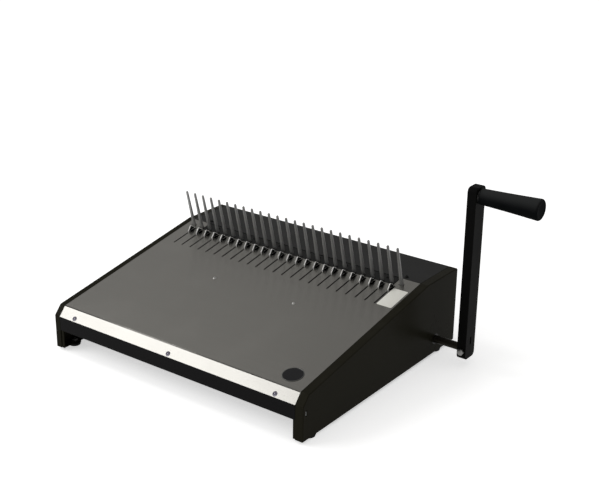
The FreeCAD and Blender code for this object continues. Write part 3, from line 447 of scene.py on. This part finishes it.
def paintBendShadeAndHighlight(name, direction):
    # paints a thin darker line along the bend, a painted reflection, where the surface has turned a little
    # way from one flat towards the other, and a brighter colour on the other flat, the front strip, a painted
    # highlight
    tree = finish[name].node_tree
    base = tree.nodes["Principled BSDF"].inputs["Base Color"]
    normal = tree.nodes.new("ShaderNodeNewGeometry").outputs["Normal"]
    turn = node(tree, "VectorMath", [(0, normal), (1, direction)], operation="DOT_PRODUCT").outputs["Value"]
    start, full, fall, end = bend["line"]
    rise, drop = spread(tree, turn, start, full, 0.0, 1.0), spread(tree, turn, fall, end, 1.0, 0.0)
    past = spread(tree, turn, 0.0, start, 1.0, 0.0)
    flat = blendColour(tree, past, base.links[0].from_socket, bend["paintedStripHighlight"])
    tree.links.new(blendColour(tree, maths(tree, "MULTIPLY", rise, drop), flat, bend["paintedBendShade"]), base)


def brushAlong(name, across):
    # what the metal mirrors is smeared in the direction across its lines and stays sharp along them
    tree = finish[name].node_tree
    shader = tree.nodes["Principled BSDF"]
    shader.inputs["Anisotropic"].default_value = bend["smear"]
    way = node(tree, "CombineXYZ", [("X", across[0]), ("Y", across[1]), ("Z", across[2])])
    tree.links.new(way.outputs[0], shader.inputs["Tangent"])


paintBendShadeAndHighlight("panelSteel", stripUp)
brushAlong("panelSteel", panelUp)
print("finishes made:", len(finish))

finishOf = dict(
    top_panel="panelSteel", side_plate_left="sideCoat", side_plate_right="sideCoat", front_cover="coverCoat",
    rear_cover="caseCoat", front_rail="caseCoat", rear_rail="caseCoat", deck_rail="caseCoat",
    panel_stiffener="platedSteel", bearing_plate_left="platedSteel", bearing_plate_right="platedSteel",
    tine_bar="caseCoat", tine_clamp="oxideSteel", tine_clamp_screws="screwBlack", comb_tines="tineSteel",
    comb_hooks="hookSteel", carriage_bar="oxideSteel", carriage_screws="screwBlack",
    slide_arm_left="oxideSteel", slide_arm_right="oxideSteel", guide_pins="boltSteel",
    cross_shaft="shaftSteel", shaft_bush_left="bushBronze", shaft_bush_right="screwBlack",
    crank_left="shaftSteel", crank_right="shaftSteel", crank_pins="boltSteel", crank_set_screws="screwBlack",
    friction_washers="paleNylon", lever_arm="leverCoat", lever_bolt="boltSteel", lever_nut="boltSteel",
    grip_stud="boltSteel", grip_washer="boltSteel", hand_grip="gripPlastic", rubber_feet="footRubber",
    foot_screws="oxideSteel", foot_nuts="oxideSteel", strip_screws="screwSteel", panel_screws="hookSteel",
    deck_screws="screwBlack", rear_screws="screwBlack", rating_plate="plateFilm", round_badge="badgeEnamel")

# rounding of the sheet edges, in millimetres
rounded = dict(side_plate_left=0.35, side_plate_right=0.35, front_cover=0.3, rear_cover=0.3, top_panel=0.15,
               cross_shaft=0.3, lever_arm=0.15, tine_bar=0.4, tine_clamp=0.3)


sheetEdge = dict(flat=0.3, segments=2, corner=40)


def dressNode(name):
    # the CAD piece keeps its shape and takes its finish; on the pieces listed in rounded, flat faces are
    # joined and the sharp edges get a fine rounding
    piece = nodes[name]
    piece.data.materials.clear()
    piece.data.materials.append(finish[finishOf[name]])
    if name in rounded:
        weld = piece.modifiers.new("weld", "WELD")
        weld.merge_threshold = sameSpot
        flat = piece.modifiers.new("flat", "DECIMATE")
        flat.decimate_type = "DISSOLVE"
        flat.angle_limit = math.radians(sheetEdge["flat"])
        edge = piece.modifiers.new("edge", "BEVEL")
        edge.width = rounded[name] * mm
        edge.segments = sheetEdge["segments"]
        edge.limit_method = "ANGLE"
        edge.angle_limit = math.radians(sheetEdge["corner"])
        edge.harden_normals = True


for name in nodes:
    dressNode(name)
print("CAD pieces dressed:", len(nodes))


# comb tines
tine = dict(count=25, reach=55.3 * mm, root=14.0 * mm, point=1.6 * mm, thick=2.2 * mm, baseWidth=5.4 * mm,
            tipWidth=3.0 * mm, lean=4.0, edge=0.45 * mm, edgeShare=0.7, chamfer=0.3 * mm, rows=7,
            pointLeft=(0.72, 0.40, 0.14, 0.0), pointWidth=(0.90, 0.66, 0.36, 0.12),
            pointThick=(0.97, 0.86, 0.68, 0.5))


def tineGrid(x):
    # a blade: rounded-rectangle sections whose width falls from the panel to the point, leaning forward
    lean = math.radians(tine["lean"])
    up = panelOut * math.cos(lean) - panelUp * math.sin(lean)
    across = panelUp * math.cos(lean) + panelOut * math.sin(lean)
    foot = panelEnd - panel["toTines"] * panelUp
    shoulder = tine["reach"] - tine["point"]
    tip = tine["reach"] - tine["point"] * np.array(tine["pointLeft"])
    root = (-tine["root"], -tine["root"] + tine["chamfer"])
    height = np.concatenate([root, np.linspace(0, shoulder, tine["rows"]), tip])
    base, narrow = tine["baseWidth"] / 2, tine["tipWidth"] / 2
    half = np.interp(height, (0, shoulder), (base, narrow))
    half[-4:] = narrow * np.array(tine["pointWidth"])
    thick = np.full(len(height), tine["thick"] / 2)
    thick[-4:] *= tine["pointThick"]
    half[0] -= tine["chamfer"]
    thick[0] -= tine["chamfer"]
    edge = np.minimum(tine["edge"], tine["edgeShare"] * np.minimum(half, thick))
    corner = np.radians((0, 45, 90))
    ring = []
    for sx, sy, start in ((1, 1, 0), (-1, 1, 90), (-1, -1, 180), (1, -1, 270)):
        angle = corner + math.radians(start)
        ring.append(np.stack([sx * (half - edge)[:, None] + edge[:, None] * np.cos(angle),
                              sy * (thick - edge)[:, None] + edge[:, None] * np.sin(angle)], -1))
    ring = np.concatenate(ring, 1)
    return foot + x * xAxis + height[:, None, None] * up + ring[..., :1] * xAxis + ring[..., 1:] * across


tineLow, tineHigh = lowOf("comb_tines"), highOf("comb_tines")
halfBase = tine["baseWidth"] / 2
tinePlaces = np.linspace(tineLow[0] + halfBase, tineHigh[0] - halfBase, tine["count"])
tineGrids = [tineGrid(x) for x in tinePlaces]
addPiece("combTines", tineGrids, finish["tineSteel"], "case", ["comb_tines"])
print("tines made:", len(tineGrids))


# hooks that pull the comb open
hook = dict(thick=1.4 * mm, stem=4.4 * mm, toTines=21.0 * mm, root=13.0 * mm, bevel=(0.9 * mm, 0.55 * mm),
            front=2.6 * mm, crest=(6.2 * mm, 8.6 * mm), crestRadius=1.3 * mm, crestSteps=9,
            shoulder=(11.4 * mm, 4.2 * mm), tip=(13.6 * mm, 0.4 * mm), tipThick=1.0 * mm, under=1.4 * mm)


def cornerArc(before, corner, after, radius, count):
    # arc that rounds the corner of three points
    before, corner, after = (np.array(point) for point in (before, corner, after))
    toBefore = (before - corner) / np.linalg.norm(before - corner)
    toAfter = (after - corner) / np.linalg.norm(after - corner)
    half = math.acos(toBefore @ toAfter) / 2
    middle = (toBefore + toAfter) / np.linalg.norm(toBefore + toAfter)
    centre = corner + middle * radius / math.sin(half)
    side = (toBefore - toAfter) / np.linalg.norm(toBefore - toAfter)
    angle = np.linspace(1, -1, count)[:, None] * (math.pi / 2 - half)
    return centre + radius * (side * np.sin(angle) - middle * np.cos(angle))


def hookOutlines():
    # front and back edge of the fin, point by point: up the stem, over the crest and to the tip
    foot, crest, shoulder, tip = (0.0, hook["front"]), hook["crest"], hook["shoulder"], hook["tip"]
    arc = cornerArc(foot, crest, shoulder, hook["crestRadius"], hook["crestSteps"])
    outer = np.concatenate([
        np.linspace((0.0, -hook["root"]), foot, 4), np.linspace(foot, arc[0], 4)[1:], arc[1:],
        np.linspace(arc[-1], shoulder, 3)[1:], np.linspace(shoulder, tip, 3)[1:]])
    heel = (hook["stem"], hook["under"])
    back = np.linspace(heel, (tip[0] - hook["tipThick"], tip[1]), len(outer) - 3)
    inner = np.concatenate([np.linspace((hook["stem"], -hook["root"]), heel, 4), back[1:]])
    return outer, inner


def hookGrid(x):
    # sections between the two edges are rectangles with cut corners
    outer, inner = hookOutlines()
    width = np.linalg.norm(inner - outer, axis=1)[:, None]
    toward = (inner - outer) / width
    half, (deep, wide) = hook["thick"] / 2, hook["bevel"]
    corner = np.array(((deep, half), (0.0, half - wide)))
    near = np.concatenate([corner, corner[::-1] * (1, -1)])
    nearInset = np.broadcast_to(near[:, 0], (len(outer), len(near)))
    inset = np.concatenate([nearInset, width - near[::-1, 0]], 1)
    side = np.concatenate([near[:, 1], near[::-1, 1]])
    start = panel["toTines"] + hook["toTines"]
    up, out = outer[:, :1] + toward[:, :1] * inset, outer[:, 1:] + toward[:, 1:] * inset
    return onPanel(up - start, out, side + x)


hookGrids = [hookGrid(x) for x in (tinePlaces[:-1] + tinePlaces[1:]) / 2]
addPiece("combHooks", hookGrids, finish["finSteel"], "carriage", ["comb_hooks"])
print("hooks made:", len(hookGrids))


# round-head screws
screwKinds = dict(
    strip=dict(head=6.4 * mm, dome=2.2 * mm, thread=4.0 * mm, length=7.0 * mm),
    panel=dict(head=5.0 * mm, dome=1.8 * mm, thread=4.0 * mm, length=7.0 * mm),
    deck=dict(head=6.0 * mm, dome=1.8 * mm, thread=4.0 * mm, length=7.0 * mm),
    rear=dict(head=7.0 * mm, dome=2.0 * mm, thread=4.0 * mm, length=7.0 * mm),
    bar=dict(head=4.4 * mm, dome=1.1 * mm, thread=2.5 * mm, length=5.0 * mm, middle=2.3 * mm,
             fromEnd=5.6 * mm, offsets=(33.2 * mm, 76.8 * mm, 139.2 * mm)))
screwForm = dict(
    steps=48, rows=(0.0, 0.06, 0.12, 0.18, 0.24, 0.30, 0.38, 0.46, 0.54, 0.62, 0.72, 0.82, 0.91, 0.97, 1.0),
    armWidth=(0.10, 0.17), armLength=(0.44, 0.60), core=(0.16, 0.30), recess=0.55, rim=0.1 * mm,
    neck=0.2 * mm, pitch=0.7 * mm, ridge=0.25 * mm, sharp=50.0)


def screwGrid(seat, out, kind, turn=0.0):
    # a ball-shaped head with a tapered cross recess, its rim, and a threaded shank below the seat
    steps = screwForm["steps"]
    half, dome = kind["head"] / 2, kind["dome"]
    ball = (half * half + dome * dome) / (2 * dome)
    radius = np.array(screwForm["rows"]) * half
    height = np.sqrt(ball * ball - radius * radius) - (ball - dome)
    angle = np.linspace(0, 2 * np.pi, steps, endpoint=False) + turn
    toArm = np.minimum(np.abs(radius[:, None] * np.cos(angle)), np.abs(radius[:, None] * np.sin(angle)))
    width, reach, core = (np.array(screwForm[key]) * half for key in ("armWidth", "armLength", "core"))
    arm = (1 - smooth(*width, toArm)) * (1 - smooth(*reach, radius[:, None]))
    centre = 1 - smooth(*core, radius[:, None])
    height = height[:, None] - screwForm["recess"] * dome * np.maximum(arm, centre)
    shank = threadProfile(-screwForm["neck"], -kind["length"], kind["thread"] / 2, screwForm["pitch"],
                          screwForm["ridge"])
    seatRing = [(0.0, half - screwForm["rim"]), (0.0, kind["thread"] / 2)]
    tail = np.concatenate([seatRing, shank, [(-kind["length"], 0.0)]])
    along = np.concatenate([height, np.repeat(tail[:, :1], steps, 1)])
    radius = np.concatenate([np.repeat(radius[:, None], steps, 1), np.repeat(tail[:, 1:], steps, 1)])
    return rings(seat, out, along, radius, steps)


def screwSeats(name, out, dome):
    # seats of the CAD screws: the middle of each separate solid across the direction out, one dome below its
    # top
    mesh = bmesh.new()
    mesh.from_mesh(nodes[name].data)
    bmesh.ops.remove_doubles(mesh, verts=mesh.verts, dist=sameSpot)
    left, seats = set(mesh.verts), []
    axis, side, other = frameAlong(out)
    while left:
        grown, edge = [], [next(iter(left))]
        while edge:
            vertex = edge.pop()
            if vertex in left:
                left.discard(vertex)
                grown.append(vertex.co)
                edge += [link.other_vert(vertex) for link in vertex.link_edges]
        points = np.array(grown)
        middle = [(points @ way).max() / 2 + (points @ way).min() / 2 for way in (side, other)]
        seats.append(middle[0] * side + middle[1] * other + ((points @ axis).max() - dome) * axis)
    mesh.free()
    return sorted(seats, key=lambda seat: tuple(np.round(seat, 4)))


def addScrews(name, piece, kind, out, finishName):
    # each screw has another turn of its recess
    seats = screwSeats(name, out, kind["dome"])
    grids = [screwGrid(seat, out, kind, 0.5 + 0.8 * index) for index, seat in enumerate(seats)]
    addPiece(piece, grids, finish[finishName], "case", [name], sharp=screwForm["sharp"])


addScrews("strip_screws", "stripScrews", screwKinds["strip"], stripOut, "screwSteel")
addScrews("panel_screws", "panelScrews", screwKinds["panel"], panelOut, "hookSteel")
addScrews("deck_screws", "deckScrews", screwKinds["deck"], zAxis, "screwBlack")
addScrews("rear_screws", "rearScrews", screwKinds["rear"], yAxis, "screwBlack")


def barScrews():
    # small black screws behind the tines, in the middle part of the tine bar
    kind = screwKinds["bar"]
    seats = [onPanel(-kind["fromEnd"], 0.0, kind["middle"] + side * offset)
             for offset in kind["offsets"] for side in (-1, 1)]
    grids = [screwGrid(seat, panelOut, kind, 0.3 + 0.7 * index) for index, seat in enumerate(seats)]
    addPiece("barScrews", grids, finish["screwBlack"], "case", sharp=screwForm["sharp"])


barScrews()
print("screws made")

# lever bolt and nut
hexes = dict(flats=8.0 * mm, head=3.5 * mm, shank=5.0 * mm, top=0.93, foot=0.15 * mm, cone=30.0,
             pitch=0.8 * mm, ridge=0.3 * mm, neck=0.1 * mm, drawnIn=0.5 * mm, steps=72)


def hexSide(flats, turn):
    # distance from the middle to the sides of a hexagon: half the flats over the cosine of the angle
    # from the middle of a side
    angle = np.linspace(0, 360, hexes["steps"], endpoint=False) + turn
    return flats / 2 / np.cos(np.radians(angle % 60 - 30))


def hexRows(start, thick, turn):
    # rows from the face at start up through the corners; a cone cuts back the top
    side = hexSide(hexes["flats"], turn)
    top = np.full_like(side, hexes["flats"] / 2 * hexes["top"])
    sign = math.copysign(1, thick)
    cut = sign * (side - top) * math.tan(math.radians(hexes["cone"]))
    along = [np.full_like(side, start), np.full_like(side, start + sign * hexes["foot"]), start + thick - cut,
             np.full_like(side, start + thick)]
    return along, [side - hexes["foot"], side, side, top]


def leverBolt():
    # the head on the front face of the lever and its threaded shank
    low, high = lowOf("lever_bolt"), highOf("lever_bolt")
    middle, seat = (low + high) / 2, lowOf("lever_arm")[1]
    along, radius = hexRows(0.0, hexes["head"], 0.0)
    half, end = hexes["shank"] / 2, seat - high[1]
    shank = threadProfile(-hexes["neck"], end + hexes["drawnIn"], half, hexes["pitch"], hexes["ridge"])
    tail = np.concatenate([[(0.0, half)], shank, [(end, half - 1.5 * hexes["ridge"])]])
    steps = hexes["steps"]
    along = np.concatenate([along[::-1], np.repeat(tail[:, :1], steps, 1)])
    radius = np.concatenate([radius[::-1], np.repeat(tail[:, 1:], steps, 1)])
    grid = rings(np.array((middle[0], seat, middle[2])), -yAxis, along, radius, steps)
    addPiece("leverBolt", [grid], finish["boltSteel"], "lever", ["lever_bolt"])


def leverNut():
    # a hexagon with both ends cut back and a bore round the thread
    low, high = lowOf("lever_nut"), highOf("lever_nut")
    middle, half = (low + high) / 2, (high[1] - low[1]) / 2
    outer, side = hexRows(0.0, half, 30.0)
    lower, lowerSide = hexRows(0.0, -half, 30.0)
    start, end = np.full(hexes["steps"], -half), np.full(hexes["steps"], half)
    bore = np.full(hexes["steps"], hexes["shank"] / 2 - hexes["ridge"] / 2)
    along = np.stack([start] + lower[:1:-1] + outer[2:] + [end, start])
    radius = np.stack([bore] + lowerSide[:1:-1] + side[2:] + [bore, bore])
    grid = rings(middle, yAxis, along, radius, hexes["steps"])
    addPiece("leverNut", [grid], finish["boltSteel"], "lever", ["lever_nut"])


leverBolt()
leverNut()
print("bolt and nut made")

# hand grip
grip = dict(near=9.9 * mm, far=13.4 * mm, rim=2.4 * mm, collar=1.2 * mm, edge=1.0 * mm, hole=4.0 * mm,
            waist=0.25 * mm, dish=0.6 * mm, lip=0.3 * mm, flatness=4, rows=22, faceRows=9, steps=64)


def handGrip():
    # a taper with a slight waist, a small collar at the lever, a round rim and a shallow dished end
    start, end = lowOf("hand_grip")[0], highOf("hand_grip")[0]
    middle = (lowOf("hand_grip") + highOf("hand_grip")) / 2
    length = end - start
    share = np.linspace(0, 1, grip["rows"])
    along = grip["collar"] + share * (length - grip["collar"] - grip["rim"])
    radius = grip["near"] + (grip["far"] - grip["near"]) * along / length
    radius -= grip["waist"] * np.sin(np.pi * share)
    body = np.stack([along, radius], -1)
    near = arcPoints((grip["edge"], radius[0] - grip["edge"]), grip["edge"], 180, 100, 6)
    inside = radius[-1] - grip["rim"]
    rim = arcPoints((length - grip["rim"], inside), grip["rim"], 88, 2, 8)
    face = np.linspace(inside - grip["lip"], 0, grip["faceRows"])
    flat = np.stack([length - grip["dish"] * (1 - (face / face[0]) ** grip["flatness"]), face], -1)
    profile = np.concatenate([[(0, 0), (0, grip["hole"])], near, body, rim, flat])
    grid = turned(np.array((start, middle[1], middle[2])), xAxis, profile, grip["steps"])
    addPiece("handGrip", [grid], finish["gripPlastic"], "lever", ["hand_grip"])


handGrip()
print("grip made")

# rubber feet
foot = dict(top=17.0 * mm, taper=1.0 * mm, recess=9.0 * mm, recessDeep=2.6 * mm, bore=4.0 * mm, edge=0.6 * mm,
            chamfer=0.2 * mm, mouth=0.3 * mm, steps=40)


def rubberFeet():
    # a short cone with rounded lower edge and a stepped hole for its screw
    low, high = lowOf("rubber_feet"), highOf("rubber_feet")
    half, tall = foot["top"] / 2, high[2] - low[2]
    lower = half - foot["taper"]
    edge, bore, recess, deep = foot["edge"], foot["bore"] / 2, foot["recess"] / 2, foot["recessDeep"]
    profile = np.concatenate([
        [(tall, bore), (tall, half - foot["chamfer"]), (tall - foot["chamfer"], half)],
        arcPoints((edge, lower - edge), edge, 80, 180, 7),
        [(0.0, recess + foot["mouth"]), (foot["mouth"], recess), (deep, recess), (deep, bore), (tall, bore)]])
    return [turned(np.array((x, y, low[2])), zAxis, profile, foot["steps"])
            for x in (low[0] + half, high[0] - half) for y in (low[1] + half, high[1] - half)]


addPiece("rubberFeet", rubberFeet(), finish["footRubber"], "case", ["rubber_feet"])
print("feet made")

# plate and badge, both bare
marks = dict(plateWide=21.4 * mm, plateLong=39.6 * mm, plateThick=0.4 * mm, plateCorner=1.6 * mm,
             plateEdge=0.1 * mm, badgeHalf=13.0 * mm, badgeThick=0.5 * mm, rim=0.9 * mm, step=0.12 * mm,
             edge=0.15 * mm, middle=0.02 * mm, easing=0.3, rows=9, steps=72)


def slabRing(wide, long, corner, inset, steps=8):
    # points round a rectangle with rounded corners, drawn in by the inset
    angle = np.radians(np.linspace(0, 90, steps))
    radius = corner - inset
    ring = []
    for quarter, (across, up) in enumerate(((1, 1), (-1, 1), (-1, -1), (1, -1))):
        way = angle + quarter * np.pi / 2
        ring.append(np.stack([across * (wide / 2 - corner) + radius * np.cos(way),
                              up * (long / 2 - corner) + radius * np.sin(way)], -1))
    return np.concatenate(ring)


def ratingPlate():
    # a thin slab with its upper edge eased
    middle = (lowOf("rating_plate") + highOf("rating_plate")) / 2 - panelEnd
    thick, edge, ease = marks["plateThick"], marks["plateEdge"], marks["easing"] * marks["plateEdge"]
    rows = []
    for out, inset in ((0.0, 0.0), (thick - edge, 0.0), (thick - ease, ease), (thick, edge)):
        ring = slabRing(marks["plateWide"], marks["plateLong"], marks["plateCorner"], inset)
        rows.append(onPanel(middle @ panelUp + ring[:, 1], np.float64(out), middle[0] + ring[:, 0]))
    addPiece("ratingPlate", [np.stack(rows)], finish["plateFilm"], "case", ["rating_plate"])


def roundBadge():
    # an enamel disc, slightly domed, inside a thin metal rim
    middle = (lowOf("round_badge") + highOf("round_badge")) / 2 - panelEnd
    seat = onPanel(np.float64(middle @ panelUp), np.float64(0.0), np.float64(middle[0]))
    half, thick, edge, steps = marks["badgeHalf"], marks["badgeThick"], marks["edge"], marks["steps"]
    inner, ease = half - marks["rim"], marks["easing"] * edge
    share = np.linspace(1, 0, marks["rows"])[:-1]
    dome = [(thick - marks["step"] * part * part, inner * part) for part in share]
    disc = [(0.0, inner)] + dome + [(thick, marks["middle"])]
    ring = [(0.0, inner), (0.0, half), (thick - edge, half), (thick - ease, half - ease),
            (thick, half - edge), (thick, inner + edge), (thick - edge, inner), (0.0, inner)]
    addPiece("badgeDisc", [turned(seat, panelOut, disc, steps)], finish["badgeEnamel"], "case",
             ["round_badge"])
    addPiece("badgeRim", [turned(seat, panelOut, ring, steps)], finish["badgeRim"], "case")


ratingPlate()
roundBadge()
print("plate and badge made")


# camera
view = dict(lens=71.75, sensor=36.0, azimuth=36.39, elevation=21.93, roll=0.70,
            place=(0.87627, -1.09823, 0.69484), shiftX=0.0009, shiftY=0.0222)


def makeCamera():
    # the direction back from the object, then right and up of the picture turned by the roll
    azimuth, elevation, roll = (math.radians(view[key]) for key in ("azimuth", "elevation", "roll"))
    back = Vector((math.sin(azimuth) * math.cos(elevation), -math.cos(azimuth) * math.cos(elevation),
                   math.sin(elevation)))
    right = Vector((math.cos(azimuth), math.sin(azimuth), 0))
    up = back.cross(right)
    level = right * math.cos(roll) + up * math.sin(roll)
    upright = up * math.cos(roll) - right * math.sin(roll)
    data = bpy.data.cameras.new("photoView")
    data.lens, data.sensor_width = view["lens"], view["sensor"]
    data.shift_x, data.shift_y = view["shiftX"], view["shiftY"]
    camera = bpy.data.objects.new("photoView", data)
    turn = Matrix((level, upright, back)).transposed().to_4x4()
    camera.matrix_world = Matrix.Translation(view["place"]) @ turn
    bpy.context.scene.collection.objects.link(camera)
    bpy.context.scene.camera = camera


makeCamera()

# floor, light and world
# under, underX and underY mark the case's footprint, where the floor's glow is left out as a painted shadow
studio = dict(floor=9.0, albedo=0.86, roughness=0.9, specular=0.1, glow=0.55, under=(0.0, 0.035),
              underX=(0.175, 0.200), underY=(0.124, 0.145), world=0.52, worldColour=(1.0, 0.995, 0.985))
lamps = [  # name, watts, size in metres, place, point it looks at
    ("frontLeftSoftbox", 24.5, (1.7, 1.15), (-1.72, -1.58, 1.52), (0.0, -0.16, 0.05)),
    ("leftSoftbox", 7.0, (0.5, 1.0), (-1.55, -0.28, 1.95), (0.0, -0.16, 0.05)),
]


def floorFinish():
    # pale and matte; seen straight or mirrored it also glows to white, except under the case, where the glow
    # is left out as a painted shadow
    material = bpy.data.materials.new("paleFloor")
    material.use_nodes = True
    tree = material.node_tree
    shader = tree.nodes["Principled BSDF"]
    shader.inputs["Base Color"].default_value = (studio["albedo"],) * 3 + (1.0,)
    shader.inputs["Roughness"].default_value = studio["roughness"]
    shader.inputs["Specular IOR Level"].default_value = studio["specular"]
    path = tree.nodes.new("ShaderNodeLightPath")
    seen = maths(tree, "MAXIMUM", path.outputs["Is Camera Ray"], path.outputs["Is Glossy Ray"])
    seen = maths(tree, "MAXIMUM", seen, path.outputs["Is Transmission Ray"])
    place = node(tree, "SeparateXYZ", [(0, tree.nodes.new("ShaderNodeTexCoord").outputs["Object"])])
    # painted shadow: the glow is held back over the case's footprint, so the floor there stays darker
    free = 0.0
    for axis, middle in zip("XY", studio["under"]):
        away = maths(tree, "ABSOLUTE", maths(tree, "SUBTRACT", place.outputs[axis], middle))
        free = maths(tree, "MAXIMUM", free, spread(tree, away, *studio["under" + axis], 0.0, 1.0))
    shader.inputs["Emission Color"].default_value = (1.0, 1.0, 1.0, 1.0)
    glow = maths(tree, "MULTIPLY", maths(tree, "MULTIPLY", seen, free), studio["glow"])
    tree.links.new(glow, shader.inputs["Emission Strength"])
    return material


def makeStudio():
    half = studio["floor"]
    mesh = bpy.data.meshes.new("floor")
    corners = [(-half, -half, 0), (half, -half, 0), (half, half, 0), (-half, half, 0)]
    mesh.from_pydata(corners, [], [(0, 1, 2, 3)])
    mesh.materials.append(floorFinish())
    floor = bpy.data.objects.new("floor", mesh)
    bpy.context.scene.collection.objects.link(floor)
    world = bpy.context.scene.world or bpy.data.worlds.new("studio")
    bpy.context.scene.world = world
    world.use_nodes = True
    background = world.node_tree.nodes["Background"]
    background.inputs[0].default_value = (*studio["worldColour"], 1.0)
    background.inputs[1].default_value = studio["world"]
    for name, power, size, place, target in lamps:
        data = bpy.data.lights.new(name, "AREA")
        data.shape = "RECTANGLE"
        data.size, data.size_y = size
        data.energy = power
        lamp = bpy.data.objects.new(name, data)
        lamp.location = place
        lamp.rotation_euler = (Vector(target) - Vector(place)).to_track_quat("-Z", "Y").to_euler()
        bpy.context.scene.collection.objects.link(lamp)
    bpy.context.scene.view_settings.view_transform = "Standard"


makeStudio()
print("camera, floor and lamps made")
